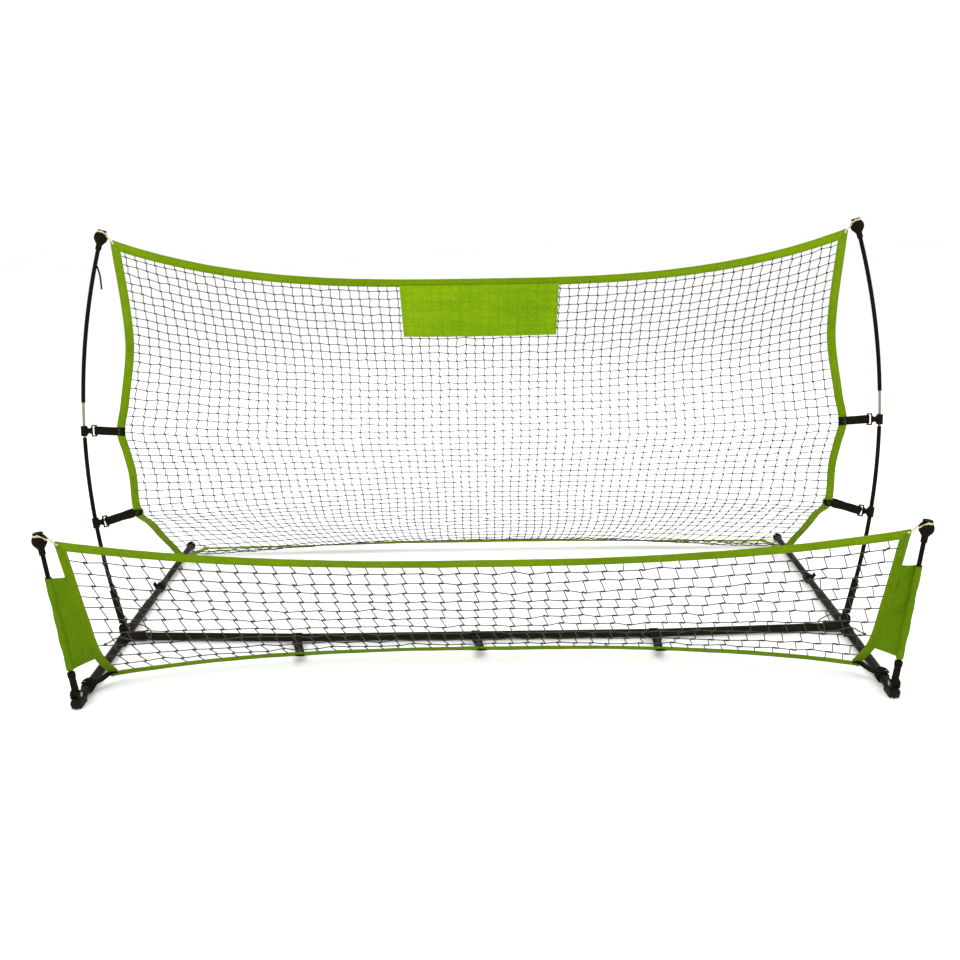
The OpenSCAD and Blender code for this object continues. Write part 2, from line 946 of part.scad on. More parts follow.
// Doubled webbing from a clip's end bar to the edge of the back net, and the patch sewn on there
module net_strap(side, height, turn, v) {
    reach = bar_reach + body_gap + strap_t / 2;
    bar = pole_place(height, -reach * cos(turn), -reach * sin(turn));
    edge = back_point(1, v);
    inward = unit(back_point(1 - back_u, v) - edge);
    rise = unit(back_point(1, v - 0.01) - back_point(1, v + 0.01));
    lift = unit(cross(rise, inward)) * (binding_t / 2 + body_gap + strap_t);
    color("#1a1815") {
        in_pole_plane(side)
            turned_clip(height, turn)
                bar_wrap();
        half(side) {
            strap(bar, edge - 3 * inward + lift, rise, webbing_w, 2 * strap_t);
            strap(edge - 5 * inward + lift, edge + binding_w * inward + lift, rise,
                  webbing_w, strap_t);
        }
    }
}

module mid_strap_left() {
    net_strap(-1, mid_clip_height, mid_turn, 0.467);
}

module mid_strap_right() {
    net_strap(1, mid_clip_height, mid_turn, 0.467);
}

module low_strap_left() {
    net_strap(-1, low_clip_height, low_turn, 0.711);
}

module low_strap_right() {
    net_strap(1, low_clip_height, low_turn, 0.711);
}

// Short tail that hangs beside the left pole, below its cap
module pull_tail() {
    length = 64;
    color("#1a1815")
        half(-1)
            translate(pole_place(pole_height - 84, -9.2) - [0, 0, length])
                cylinder(h = length, d = 5);
}

// ---- Front poles ----

// A frame at the right front fold axis; with_splay runs +Z up the pole
module at_front_axis(side, with_splay = true) {
    half(side)
        translate([hub_x, -rail_front, front_pivot_z])
            rotate([0, with_splay ? front_splay : 0, 0])
                children();
}

module front_socket(side) {
    color("#181612") {
        at_front_axis(side, false)
            difference() {
                union() {
                    along_x(-tongue_t / 2, tongue_t / 2, 2 * front_tongue_r);
                    translate([-tongue_t / 2, -7, 0])
                        cube([tongue_t, 14, 18]);
                    rotate([0, front_splay, 0]) {
                        translate([0, 0, 14])
                            cylinder(h = front_socket_length - 14, d = front_socket_d);
                        translate([0, 0, front_socket_length - 12])
                            cylinder(h = 12, d = front_socket_d + 3);
                    }
                }
                rotate([0, front_splay, 0])
                    translate([0, 0, bore_start - 8])
                        cylinder(h = front_socket_length, d = pole_d + 2 * fit);
                along_x(-through, through, pin_d + 2 * fit);
            }
    }
}

module front_socket_left() {
    front_socket(-1);
}

module front_socket_right() {
    front_socket(1);
}

module front_pole(side) {
    color("#141210")
        at_front_axis(side)
            translate([0, 0, bore_start - 6])
                cylinder(h = front_pole_length - bore_start - 6, d = pole_d);
}

module front_pole_left() {
    front_pole(-1);
}

module front_pole_right() {
    front_pole(1);
}

module front_cap(side) {
    color("#181612")
        at_front_axis(side)
            translate([0, 0, front_pole_length])
                bulb_cap(33);
}

module front_cap_left() {
    front_cap(-1);
}

module front_cap_right() {
    front_cap(1);
}

// Fabric sleeve on a front pole, with a flap that is sewn to the front net's side binding
module front_sleeve(side) {
    top = front_pole_length - 100;
    bottom = front_socket_length + 8;
    color("#7fae10")
        at_front_axis(side) {
            difference() {
                translate([0, 0, bottom])
                    cylinder(h = top - bottom, d = pole_d + 6);
                translate([0, 0, bottom - 1])
                    cylinder(h = top - bottom + 2, d = pole_d + 2 * fit);
            }
            strap([-8, 2, (top + bottom) / 2], [-29, 4, (top + bottom) / 2], [0, 0, 1],
                  top - bottom - 10, strap_t);
        }
}

module front_sleeve_left() {
    front_sleeve(-1);
}

module front_sleeve_right() {
    front_sleeve(1);
}

cross_tube_left();
cross_tube_middle();
cross_tube_right();
cross_spigots();
hub_left();
hub_right();
hub_pins();
hub_lashings();
rail_left();
rail_right();
rear_rail_left();
rear_rail_right();
front_foot_left();
front_foot_right();
front_pins();
rear_end_cap_left();
rear_end_cap_right();
rear_corner_elastics();
rear_rail_cuff_left();
rear_rail_cuff_right();
cross_strap_left();
cross_strap_middle();
cross_strap_right();
front_corner_strap_left();
front_corner_strap_right();
back_net();
back_binding();
back_patch();
front_net();
front_binding();
rear_socket_left();
lower_pole_left();
pole_rod_left();
upper_pole_left();
top_cap_left();
top_elastic_left();
mid_clip_left();
low_clip_left();
mid_strap_left();
low_strap_left();
pull_tail();
rear_socket_right();
lower_pole_right();
pole_rod_right();
upper_pole_right();
top_cap_right();
top_elastic_right();
mid_clip_right();
low_clip_right();
mid_strap_right();
low_strap_right();
front_socket_left();
front_pole_left();
front_cap_left();
front_sleeve_left();
front_socket_right();
front_pole_right();
front_cap_right();
front_sleeve_right();
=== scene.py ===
"""Pitch back rebounder: nets, bindings, straps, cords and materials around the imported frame."""

import json
import math

import bpy
import numpy as np
from mathutils import Matrix, Vector


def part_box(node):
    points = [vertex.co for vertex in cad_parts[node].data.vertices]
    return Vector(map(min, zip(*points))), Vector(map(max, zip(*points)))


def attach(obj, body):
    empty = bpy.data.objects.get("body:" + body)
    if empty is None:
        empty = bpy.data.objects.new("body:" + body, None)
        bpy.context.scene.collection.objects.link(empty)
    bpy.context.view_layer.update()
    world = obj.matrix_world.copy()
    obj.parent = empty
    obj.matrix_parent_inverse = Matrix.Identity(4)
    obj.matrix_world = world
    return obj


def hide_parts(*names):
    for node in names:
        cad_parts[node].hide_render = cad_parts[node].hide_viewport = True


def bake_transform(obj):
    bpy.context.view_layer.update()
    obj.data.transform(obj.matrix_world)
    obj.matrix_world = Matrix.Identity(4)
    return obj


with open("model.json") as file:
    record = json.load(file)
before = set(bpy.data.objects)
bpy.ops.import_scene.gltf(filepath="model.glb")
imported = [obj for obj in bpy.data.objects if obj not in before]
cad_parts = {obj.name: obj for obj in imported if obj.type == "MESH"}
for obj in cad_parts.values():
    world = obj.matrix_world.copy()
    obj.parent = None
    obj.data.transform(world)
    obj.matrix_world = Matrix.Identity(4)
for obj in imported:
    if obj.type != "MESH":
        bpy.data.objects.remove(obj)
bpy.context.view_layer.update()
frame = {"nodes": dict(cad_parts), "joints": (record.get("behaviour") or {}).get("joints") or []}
nodes = frame["nodes"]
joints = {j["name"]: j for j in frame["joints"]}
rng = np.random.default_rng(7)


def centre(node):
    low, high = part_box(node)
    return (low + high) / 2


# ---- Places, in metres, in the frame of the cross tube's centre until placed() moves them ----

ORIGIN_Y = joints["rear_fold_right"]["pos_m"][1]  # the cross tube's place in the row frame
RAIL = centre("rail_right")
REAR_AXIS = np.array([joints["rear_fold_right"]["pos_m"][0], 0, joints["rear_fold_right"]["pos_m"][2]])
FRONT_AXIS = np.array(joints["front_fold_right"]["pos_m"]) - [0, ORIGIN_Y, 0]
HALF = RAIL.x
LEAN_BACK = math.radians(12)
SPLAY = math.radians(15)
SOCKET_HEIGHT = 0.115
POLE_HEIGHT = 1.145
MID_CLIP = 0.585
LOW_CLIP = 0.314
FRONT_SPLAY = math.radians(6.5)
FRONT_LENGTH = 0.424
POLE_R = (POLE_HEIGHT - SOCKET_HEIGHT) / 2 / math.sin(SPLAY)
ARC_X = SOCKET_HEIGHT * math.tan(SPLAY) - POLE_R * math.cos(SPLAY)
ARC_Z = (SOCKET_HEIGHT + POLE_HEIGHT) / 2
CROSS_BOW = 0.030
CROSS_JOINT = 0.530
CROSS_R = 0.012
CROSS_STRAPS = {"left": (-0.548, -0.545), "middle": (-0.025, -0.009), "right": (0.497, 0.520)}
WEBBING = 0.025
STRAP_T = 0.0018
BINDING = 0.025
CORNER_CUFF_Y = -0.345  # the buckled cuffs on the rails
CORD_SIDES = 10
PATCH_W, PATCH_H = 0.465, 0.165

# The nets' edges and centre lines, as in the CAD model
BACK_KNOTS = [0, 0.25, 0.4, 0.467, 0.53, 0.6, 0.711, 0.79, 0.86, 0.905, 0.945, 1]
BACK_EDGE = [
    (1.070, 0.241, 1.153), (1.038, 0.188, 0.866), (1.062, 0.159, 0.683), (1.076, 0.146, 0.604),
    (1.060, 0.132, 0.542), (1.044, 0.118, 0.480), (1.032, 0.098, 0.368), (1.054, 0.290, 0.272),
    (1.066, 0.440, 0.182), (1.062, 0.530, 0.118), (1.046, 0.610, 0.055), (1.006, 0.800, 0.019),
]
BACK_CENTRE = [
    (0, 0.222, 1.027), (0, 0.332, 0.742), (0, 0.408, 0.572), (0, 0.444, 0.498),
    (0, 0.479, 0.432), (0, 0.520, 0.361), (0, 0.593, 0.252), (0, 0.652, 0.179),
    (0, 0.708, 0.118), (0, 0.746, 0.080), (0, 0.781, 0.049), (0, 0.822, 0.019),
]
FRONT_KNOTS = [0, 0.25, 0.5, 0.78, 1]
FRONT_EDGE = [
    (1.078, -0.440, 0.458), (1.062, -0.428, 0.350), (1.050, -0.412, 0.255),
    (1.034, -0.378, 0.122), (1.018, -0.286, 0.019),
]
FRONT_CENTRE = [
    (0, -0.420, 0.384), (0, -0.366, 0.286), (0, -0.301, 0.191), (0, -0.217, 0.086),
    (0, -0.145, 0.019),
]
BACK_LENGTH = 1.18
FRONT_LENGTH_NET = 0.46
SWEEP_SIZE = 0.3
SWEEP_START = 0.6


def along(knots, points, v):
    """The smooth curve through the points, each at its knot, for an array of v."""
    knots, points = np.array(knots, float), np.array(points, float)
    v = np.asarray(v, float)
    last = len(knots) - 1
    a = np.maximum(np.arange(last + 1) - 1, 0)
    b = np.minimum(np.arange(last + 1) + 1, last)
    slopes = (points[b] - points[a]) / (knots[b] - knots[a])[:, None]
    i = np.clip(np.searchsorted(knots, v, side="right") - 1, 0, last - 1)
    h = (knots[i + 1] - knots[i])[..., None]
    t = (v - knots[i])[..., None] / h
    return (
        (2 * t**3 - 3 * t**2 + 1) * points[i]
        + (t**3 - 2 * t**2 + t) * h * slopes[i]
        + (3 * t**2 - 2 * t**3) * points[i + 1]
        + (t**3 - t**2) * h * slopes[i + 1]
    )


def net_point(edge, middle, share, x_share):
    share = np.asarray(share)[..., None]
    p = middle + (edge - middle) * share
    p[..., 0] = edge[..., 0] * x_share
    return p


def back_point(u, v):
    """Points of the back net: u from -1 to 1 across it, v from 0 at the top to 1 at the bottom."""
    u, v = np.broadcast_arrays(np.asarray(u, float), np.asarray(v, float))
    late = np.clip((v - SWEEP_START) / (1 - SWEEP_START), 0, None)
    swept = SWEEP_SIZE * np.sign(u) * u**2 * (1 - u**6) * late**2.5
    edge, middle = along(BACK_KNOTS, BACK_EDGE, v), along(BACK_KNOTS, BACK_CENTRE, v)
    return net_point(edge, middle, np.abs(u) ** (2.2 + 0.8 * (1 - v) ** 3), u - swept)


def front_point(u, v):
    u, v = np.broadcast_arrays(np.asarray(u, float), np.asarray(v, float))
    edge, middle = along(FRONT_KNOTS, FRONT_EDGE, v), along(FRONT_KNOTS, FRONT_CENTRE, v)
    return net_point(edge, middle, np.abs(u) ** (2.5 + 0.3 * v), u)


def pole_place(height, out=0.0, side=1):
    """A point of a rear pole at a height up its plane, and out from its centre line."""
    t = math.asin((height - ARC_Z) / POLE_R)
    x = ARC_X + (POLE_R + out) * math.cos(t)
    z = ARC_Z + (POLE_R + out) * math.sin(t)
    return np.array([side * (REAR_AXIS[0] + x), z * math.sin(LEAN_BACK),
                     REAR_AXIS[2] + z * math.cos(LEAN_BACK)])


def pole_axes(height, side=1):
    """Unit vectors outwards from and up along a rear pole, and across it to the rear."""
    t = math.asin((height - ARC_Z) / POLE_R)
    s, c = math.sin(LEAN_BACK), math.cos(LEAN_BACK)
    out = np.array([side * math.cos(t), math.sin(t) * s, math.sin(t) * c])
    up = np.array([-side * math.sin(t), math.cos(t) * s, math.cos(t) * c])
    return out, up, np.array([0, c, -s])


def front_place(length, out=0.0, side=1):
    x = FRONT_AXIS[0] + length * math.sin(FRONT_SPLAY) + out * math.cos(FRONT_SPLAY)
    z = FRONT_AXIS[2] + length * math.cos(FRONT_SPLAY) - out * math.sin(FRONT_SPLAY)
    return np.array([side * x, FRONT_AXIS[1], z])


def placed(points):
    return np.asarray(points, float) + [0, ORIGIN_Y, 0]


# ---- Mesh building ----


def unit(v):
    v = np.asarray(v, float)
    return v / np.maximum(np.linalg.norm(v, axis=-1, keepdims=True), 1e-12)


def smooth_path(points, count, closed=False):
    """count points of a Catmull-Rom curve through the given points."""
    p = np.asarray(points, float)
    if closed:
        p = np.vstack([p, p[:1]])
        wrapped = np.vstack([p[-2:-1], p, p[1:2]])
        return along(range(len(wrapped)), wrapped, np.linspace(1, len(p), count + 1)[:-1])
    return along(range(len(p)), p, np.linspace(0, len(p) - 1, count))


def rounded(width, thickness, steps=3):
    """The outline of a flat band with round edges, as (across, out) pairs."""
    r = thickness / 2
    points = []
    for side in (1, -1):
        for k in range(steps + 1):
            a = -math.pi / 2 + math.pi * k / steps
            points.append((side * (width / 2 - r + r * math.cos(a)), side * r * math.sin(a)))
    return np.array(points)


def ring(diameter, sides):
    a = np.arange(sides) * 2 * math.pi / sides
    return np.column_stack([np.cos(a), np.sin(a)]) * diameter / 2


class Shape:
    """Collects the faces of one mesh, with a UV in metres for each corner."""

    def __init__(self):
        self.points, self.faces, self.uvs = [], [], []
        self.count = 0

    def add(self, points, faces, uvs):
        self.points.append(np.asarray(points, float))
        self.faces += [tuple(int(i) + self.count for i in f) for f in faces]
        self.uvs += uvs
        self.count += len(points)

    def sweep(self, path, across, profile, closed=False, width=None):
        """Moves a profile along a path; across is its first direction, one vector or one each.
        width, of each point of the path, narrows the profile towards its first edge."""
        path = np.asarray(path, float)
        n, m = len(path), len(profile)
        if closed:
            run = unit(np.roll(path, -1, 0) - np.roll(path, 1, 0))
        else:
            run = unit(np.gradient(path, axis=0))
        across = np.broadcast_to(np.asarray(across, float), path.shape)
        across = unit(across - (across * run).sum(1)[:, None] * run)
        out = np.cross(run, across)
        first = profile[:, 0].min()
        share = np.ones(n) if width is None else width
        reach = first + (profile[None, :, 0] - first) * share[:, None]
        rings = path[:, None] + across[:, None] * reach[..., None] + out[:, None] * profile[None, :, 1:]
        step = np.linalg.norm(np.diff(path, axis=0), axis=1)
        if closed:
            step = np.append(step, np.linalg.norm(path[0] - path[-1]))
        far = np.concatenate([[0], np.cumsum(step)])
        faces, uvs = [], []
        wide = profile[:, 0]
        for i in range(n if closed else n - 1):
            a, b = i * m, ((i + 1) % n) * m
            for k in range(m):
                j = (k + 1) % m
                faces.append((a + k, a + j, b + j, b + k))
                uvs += [(far[i], wide[k]), (far[i], wide[j]), (far[i + 1], wide[j]), (far[i + 1], wide[k])]
        if not closed:
            faces.append(tuple(range(m - 1, -1, -1)))
            uvs += [(far[0], wide[k]) for k in range(m - 1, -1, -1)]
            faces.append(tuple(range((n - 1) * m, n * m)))
            uvs += [(far[n - 1], wide[k]) for k in range(m)]
        self.add(rings.reshape(-1, 3), faces, uvs)

    def blob(self, middle, radii, axes, rows=4, sides=6):
        """A small ellipsoid with the given half sizes along its axes."""
        points = [np.array([0, 0, 1.0])]
        for i in range(1, rows):
            a = math.pi * i / rows
            for k in range(sides):
                b = 2 * math.pi * k / sides
                points.append(np.array([math.sin(a) * math.cos(b), math.sin(a) * math.sin(b), math.cos(a)]))
        points.append(np.array([0, 0, -1.0]))
        faces = [(0, 1 + k, 1 + (k + 1) % sides) for k in range(sides)]
        for i in range(rows - 2):
            a, b = 1 + i * sides, 1 + (i + 1) * sides
            faces += [(a + k, b + k, b + (k + 1) % sides, a + (k + 1) % sides) for k in range(sides)]
        a, last = 1 + (rows - 2) * sides, len(points) - 1
        faces += [(a + k, last, a + (k + 1) % sides) for k in range(sides)]
        local = np.array(points) * radii
        self.add(middle + local @ np.asarray(axes), faces, [(0.0, 0.0) for f in faces for _ in f])

    def grid(self, points, uv, thickness):
        """A closed sheet on a grid of points, thick along its own normals."""
        rows, cols = points.shape[:2]
        d_row, d_col = np.gradient(points, axis=0), np.gradient(points, axis=1)
        normal = unit(np.cross(d_col, d_row)) * thickness / 2
        both = np.vstack([(points + normal).reshape(-1, 3), (points - normal).reshape(-1, 3)])
        flat = np.asarray(uv, float).reshape(-1, 2)
        n = rows * cols
        faces = []
        for i in range(rows - 1):
            for j in range(cols - 1):
                a = i * cols + j
                quad = (a, a + 1, a + cols + 1, a + cols)
                faces.append(quad[::-1])
                faces.append(tuple(n + q for q in quad))
        rim = list(range(cols)) + [i * cols + cols - 1 for i in range(1, rows)]
        rim += [(rows - 1) * cols + j for j in range(cols - 2, -1, -1)]
        rim += [i * cols for i in range(rows - 2, 0, -1)]
        for k, a in enumerate(rim):
            b = rim[(k + 1) % len(rim)]
            faces.append((a, b, n + b, n + a))
        self.add(both, faces, [tuple(flat[q % n]) for f in faces for q in f])

    def make(self, name, material):
        mesh = bpy.data.meshes.new(name)
        mesh.from_pydata(placed(np.vstack(self.points)).tolist(), [], self.faces)
        layer = mesh.uv_layers.new(name="lay")
        layer.data.foreach_set("uv", np.array(self.uvs, np.float32).ravel())
        mesh.polygons.foreach_set("use_smooth", [True] * len(mesh.polygons))
        mesh.materials.append(material)
        mesh.update()
        piece = bpy.data.objects.new(name, mesh)
        bpy.context.scene.collection.objects.link(piece)
        return piece


# ---- Materials ----


class Look:
    """A Principled material whose colour, roughness and bump come from nodes."""

    def __init__(self, name, roughness=0.5, metallic=0.0, sheen=0.0, specular=0.5):
        self.material = bpy.data.materials.new(name)
        self.material.use_nodes = True
        self.tree = self.material.node_tree
        self.shader = self.tree.nodes["Principled BSDF"]
        self.shader.inputs["Roughness"].default_value = roughness
        self.shader.inputs["Metallic"].default_value = metallic
        self.shader.inputs["Sheen Weight"].default_value = sheen
        self.shader.inputs["Specular IOR Level"].default_value = specular
        self.height = None

    def node(self, kind, **values):
        made = self.tree.nodes.new("ShaderNode" + kind)
        for key, value in values.items():
            setattr(made, key, value)
        return made

    def link(self, a, b):
        self.tree.links.new(a, b)

    def place(self, scale=(1, 1, 1), lay=False):
        """Object coordinates, or the piece's own lay in metres, times a scale."""
        if lay:
            source = self.node("UVMap", uv_map="lay").outputs[0]
        else:
            source = self.node("TexCoord").outputs["Object"]
        mapping = self.node("Mapping", vector_type="POINT")
        mapping.inputs["Scale"].default_value = scale
        self.link(source, mapping.inputs["Vector"])
        return mapping.outputs[0]

    def noise(self, where, scale, detail=3.0, roughness=0.55):
        made = self.node("TexNoise")
        made.inputs["Scale"].default_value = scale
        made.inputs["Detail"].default_value = detail
        made.inputs["Roughness"].default_value = roughness
        self.link(where, made.inputs["Vector"])
        return made.outputs["Fac"]

    def math(self, operation, a, b=0.0, c=0.0):
        made = self.node("Math", operation=operation)
        for socket, value in zip(made.inputs, (a, b, c)):
            if isinstance(value, (int, float)):
                socket.default_value = value
            else:
                self.link(value, socket)
        return made.outputs[0]

    def ramp(self, fac, stops):
        """A smooth ramp; each stop is (place, value or colour)."""
        made = self.node("ValToRGB")
        ramp = made.color_ramp
        while len(ramp.elements) < len(stops):
            ramp.elements.new(0.5)
        for element, (place, value) in zip(ramp.elements, stops):
            element.position = place
            element.color = (*value, 1) if isinstance(value, tuple) else (value, value, value, 1)
        self.link(fac, made.inputs["Fac"])
        return made.outputs["Color"]

    def mix(self, fac, a, b):
        made = self.node("Mix", data_type="RGBA")
        for socket, value in ((made.inputs[0], fac), (made.inputs[6], a), (made.inputs[7], b)):
            if isinstance(value, tuple):
                socket.default_value = (*value, 1)
            else:
                self.link(value, socket)
        return made.outputs[2]

    def colour(self, value):
        self.link(value, self.shader.inputs["Base Color"])

    def rough(self, fac, low, high):
        made = self.node("MapRange")
        made.inputs["To Min"].default_value = low
        made.inputs["To Max"].default_value = high
        self.link(fac, made.inputs["Value"])
        self.link(made.outputs[0], self.shader.inputs["Roughness"])

    def bump(self, height, distance, strength=1.0):
        made = self.node("Bump")
        made.inputs["Strength"].default_value = strength
        made.inputs["Distance"].default_value = distance
        self.link(height, made.inputs["Height"])
        if self.height is not None:
            self.link(self.height, made.inputs["Normal"])
        self.height = made.outputs[0]
        self.link(self.height, self.shader.inputs["Normal"])

    def dust(self, colour, top=0.05):
        """Mixes a pale dust into a colour near the ground."""
        split = self.node("SeparateXYZ")
        self.link(self.node("TexCoord").outputs["Object"], split.inputs[0])
        low = self.math("SUBTRACT", 1.0, self.math("DIVIDE", split.outputs["Z"], top))
        low = self.math("MAXIMUM", low, 0.0)
        patch = self.noise(self.place(), 60, 5)
        share = self.math("MULTIPLY", self.math("MULTIPLY", low, patch), 0.22)
        return self.mix(share, colour, (0.06, 0.053, 0.038))

    def weave(self, warp, weft, depth):
        """Threads over and under each other on the piece's lay; warp and weft are their pitches."""
        split = self.node("SeparateXYZ")
        self.link(self.node("UVMap", uv_map="lay").outputs[0], split.inputs[0])
        u = self.math("MULTIPLY", split.outputs["X"], math.pi / warp)
        v = self.math("MULTIPLY", split.outputs["Y"], math.pi / weft)
        threads = self.math("MULTIPLY", self.math("SINE", u), self.math("SINE", v))
        self.bump(threads, depth)
        return threads


def coated_steel(name, base=(0.0046, 0.0036, 0.0016), light=(0.0085, 0.0066, 0.0030)):
    """Satin black powder coat with a fine orange peel, rub marks and ground dust."""
    look = Look(name, specular=0.025)
    where = look.place()
    cloud = look.noise(where, 14, 4)
    colour = look.ramp(cloud, [(0.35, base), (0.7, light)])
    rubs = look.noise(look.place((3, 3, 60)), 30, 4, 0.7)
    worn = look.ramp(rubs, [(0.66, 0.0), (0.74, 0.5)])
    colour = look.mix(worn, colour, (0.018, 0.015, 0.009))
    look.colour(look.dust(colour))
    look.rough(look.noise(where, 90, 3), 0.34, 0.52)
    look.bump(look.noise(where, 1400, 2), 0.00012, 0.35)
    return look.material


def moulded_plastic(name, colour=(0.0048, 0.0038, 0.0018), rough=(0.42, 0.6)):
    """Black nylon with a fine spark-eroded grain."""
    look = Look(name, specular=0.03)
    where = look.place()
    tone = look.ramp(look.noise(where, 45, 4), [(0.3, colour), (0.75, tuple(1.7 * c for c in colour))])
    look.colour(look.dust(tone))
    look.rough(look.noise(where, 160, 4), *rough)
    look.bump(look.noise(where, 2600, 3, 0.7), 0.00010, 0.5)
    return look.material


def bare_rod(name):
    """Pultruded rod: beige resin with fine fibres along it."""
    look = Look(name)
    fibres = look.noise(look.place((1400, 1400, 12)), 1, 3, 0.6)
    stops = [(0.3, (0.12, 0.10, 0.060)), (0.55, (0.20, 0.17, 0.105)), (0.75, (0.29, 0.25, 0.165))]
    look.colour(look.ramp(fibres, stops))
    look.rough(fibres, 0.26, 0.42)
    look.bump(fibres, 0.00008, 0.4)
    return look.material


def zinc(name, dark=(0.16, 0.155, 0.14), light=(0.33, 0.32, 0.30)):
    look = Look(name, metallic=1.0)
    where = look.place()
    spangle = look.noise(where, 260, 4)
    look.colour(look.ramp(spangle, [(0.3, dark), (0.7, light)]))
    look.rough(look.noise(where, 900, 3), 0.25, 0.5)
    look.bump(spangle, 0.00006, 0.3)
    return look.material


def webbing_look(name):
    """Black polypropylene webbing with ribs across it."""
    look = Look(name, sheen=0.01, specular=0.03)
    look.shader.inputs["Sheen Roughness"].default_value = 0.4
    threads = look.weave(0.0011, 0.0016, 0.00035)
    tone = look.noise(look.place(), 120, 4)
    colour = look.ramp(tone, [(0.3, (0.0046, 0.0036, 0.0018)), (0.8, (0.0085, 0.0068, 0.0038))])
    # painted highlight: the crowns of the ribs are mixed towards a lighter grey, leaving painted shade in
    # the hollows between them
    painted_rib_light = look.ramp(look.math("MULTIPLY_ADD", threads, 0.5, 0.5), [(0.2, 0.0), (0.9, 0.35)])
    look.colour(look.mix(painted_rib_light, colour, (0.018, 0.015, 0.010)))
    look.rough(tone, 0.55, 0.8)
    look.bump(look.noise(look.place(), 1800, 2), 0.00008, 0.4)
    return look.material


def cord_look(name, dark, light, pitch=0.004):
    """Braided cord: two crossing families of strands."""
    look = Look(name, sheen=0.08, specular=0.3)
    split = look.node("SeparateXYZ")
    look.link(look.place((1, 1, 1), lay=True), split.inputs[0])
    u = look.math("MULTIPLY", split.outputs["X"], 2 * math.pi / pitch)
    v = look.math("MULTIPLY", split.outputs["Y"], 2 * math.pi / pitch * 1.2)
    one = look.math("SINE", look.math("ADD", u, v))
    two = look.math("SINE", look.math("SUBTRACT", u, v))
    strands = look.math("MAXIMUM", one, two)
    tone = look.math("MULTIPLY_ADD", strands, 0.5, 0.5)
    patches = look.noise(look.place(), 200, 3)
    # painted light and shade: the strand crowns take the light colour and the grooves between strands the
    # dark one; the patches add the light colour at random
    look.colour(look.mix(patches, look.ramp(tone, [(0.3, dark), (0.9, light)]), light))
    look.rough(tone, 0.85, 0.6)
    look.bump(strands, 0.0003, 0.8)
    return look.material


def twine_look(name, dark=(0.009, 0.0075, 0.005), light=(0.034, 0.030, 0.022), faded=(0.065, 0.058, 0.044)):
    """Twisted black polyethylene twine."""
    look = Look(name, specular=0.25)
    split = look.node("SeparateXYZ")
    look.link(look.place((1, 1, 1), lay=True), split.inputs[0])
    u = look.math("MULTIPLY", split.outputs["X"], 2 * math.pi / 0.005)
    v = look.math("MULTIPLY", split.outputs["Y"], 2 * math.pi / 0.003)
    plies = look.math("SINE", look.math("ADD", u, v))
    tone = look.math("MULTIPLY_ADD", plies, 0.5, 0.5)
    where = look.place()
    # painted light and shade: the ply crowns take the light colour and the grooves between plies the dark
    # one; the faded colour comes in at random
    colour = look.ramp(tone, [(0.1, dark), (0.9, light)])
    look.colour(look.mix(look.math("MULTIPLY", look.noise(where, 9, 3), 0.35), colour, faded))
    look.rough(look.noise(where, 300, 3), 0.5, 0.75)
    look.bump(plies, 0.0003, 0.7)
    return look.material


def fabric_colour(look, strength, warmth):
    """Green cloth with slow and fine variation in tone; strength sets its brightness, so a lower strength
    paints shade, and warmth raises its red.
    """
    broad = look.noise(look.place(), 5, 3)
    fine = look.noise(look.place(), 90, 4)
    tone = look.math("ADD", look.math("MULTIPLY", broad, 0.55), look.math("MULTIPLY", fine, 0.45))
    stops = [(0.34, GREEN_DARK), (0.5, GREEN), (0.68, GREEN_LIGHT)]
    tint = (strength * warmth, strength, strength)
    return look.ramp(tone, [(place, tuple(t * c for t, c in zip(tint, green))) for place, green in stops])


GREEN_DARK, GREEN, GREEN_LIGHT = (0.145, 0.285, 0.0022), (0.190, 0.345, 0.0030), (0.235, 0.400, 0.0045)
# dark green for the painted shade in the grooves along the bindings' stitch rows, and for the netting that
# shows through the patch
GROOVE_SHADE_AND_NET_GREEN = (0.085, 0.165, 0.002)
THREAD = (0.15, 0.26, 0.004)


def cloth(name):
    """The start of a green cloth: dull, with a green-tinted sheen."""
    look = Look(name, roughness=0.82, sheen=0.012, specular=0.04)
    look.shader.inputs["Sheen Roughness"].default_value = 0.5
    look.shader.inputs["Sheen Tint"].default_value = (0.62, 0.85, 0.12, 1)
    return look


def binding_look(name, width, strength, warmth=1.0):
    """Folded binding tape: a fine weave and a row of lock stitches near each edge."""
    look = cloth(name)
    look.weave(0.0009, 0.0009, 0.00022)
    split = look.node("SeparateXYZ")
    look.link(look.node("UVMap", uv_map="lay").outputs[0], split.inputs[0])
    # how near a point is to one of the two stitch rows, and whether a stitch is up there
    across = look.math("ABSOLUTE", split.outputs["Y"])
    row = look.math("ABSOLUTE", look.math("SUBTRACT", across, width / 2 - 0.0035))
    near = look.math("LESS_THAN", row, 0.0006)
    beat = look.math("FRACT", look.math("DIVIDE", split.outputs["X"], 0.0042))
    stitch = look.math("MULTIPLY", near, look.math("LESS_THAN", beat, 0.74))
    colour = fabric_colour(look, strength, warmth)
    # painted shade: the tape darkens in the groove beside each stitch row
    groove = look.ramp(row, [(0.0006, 0.35), (0.0022, 0.0)])
    colour = look.mix(groove, colour, GROOVE_SHADE_AND_NET_GREEN)
    look.colour(look.mix(stitch, colour, THREAD))
    look.bump(look.math("SUBTRACT", stitch, look.math("MULTIPLY", groove, 1.4)), 0.0006, 0.8)
    look.bump(look.noise(look.place(), 26, 3), 0.0022, 0.5)
    return look.material


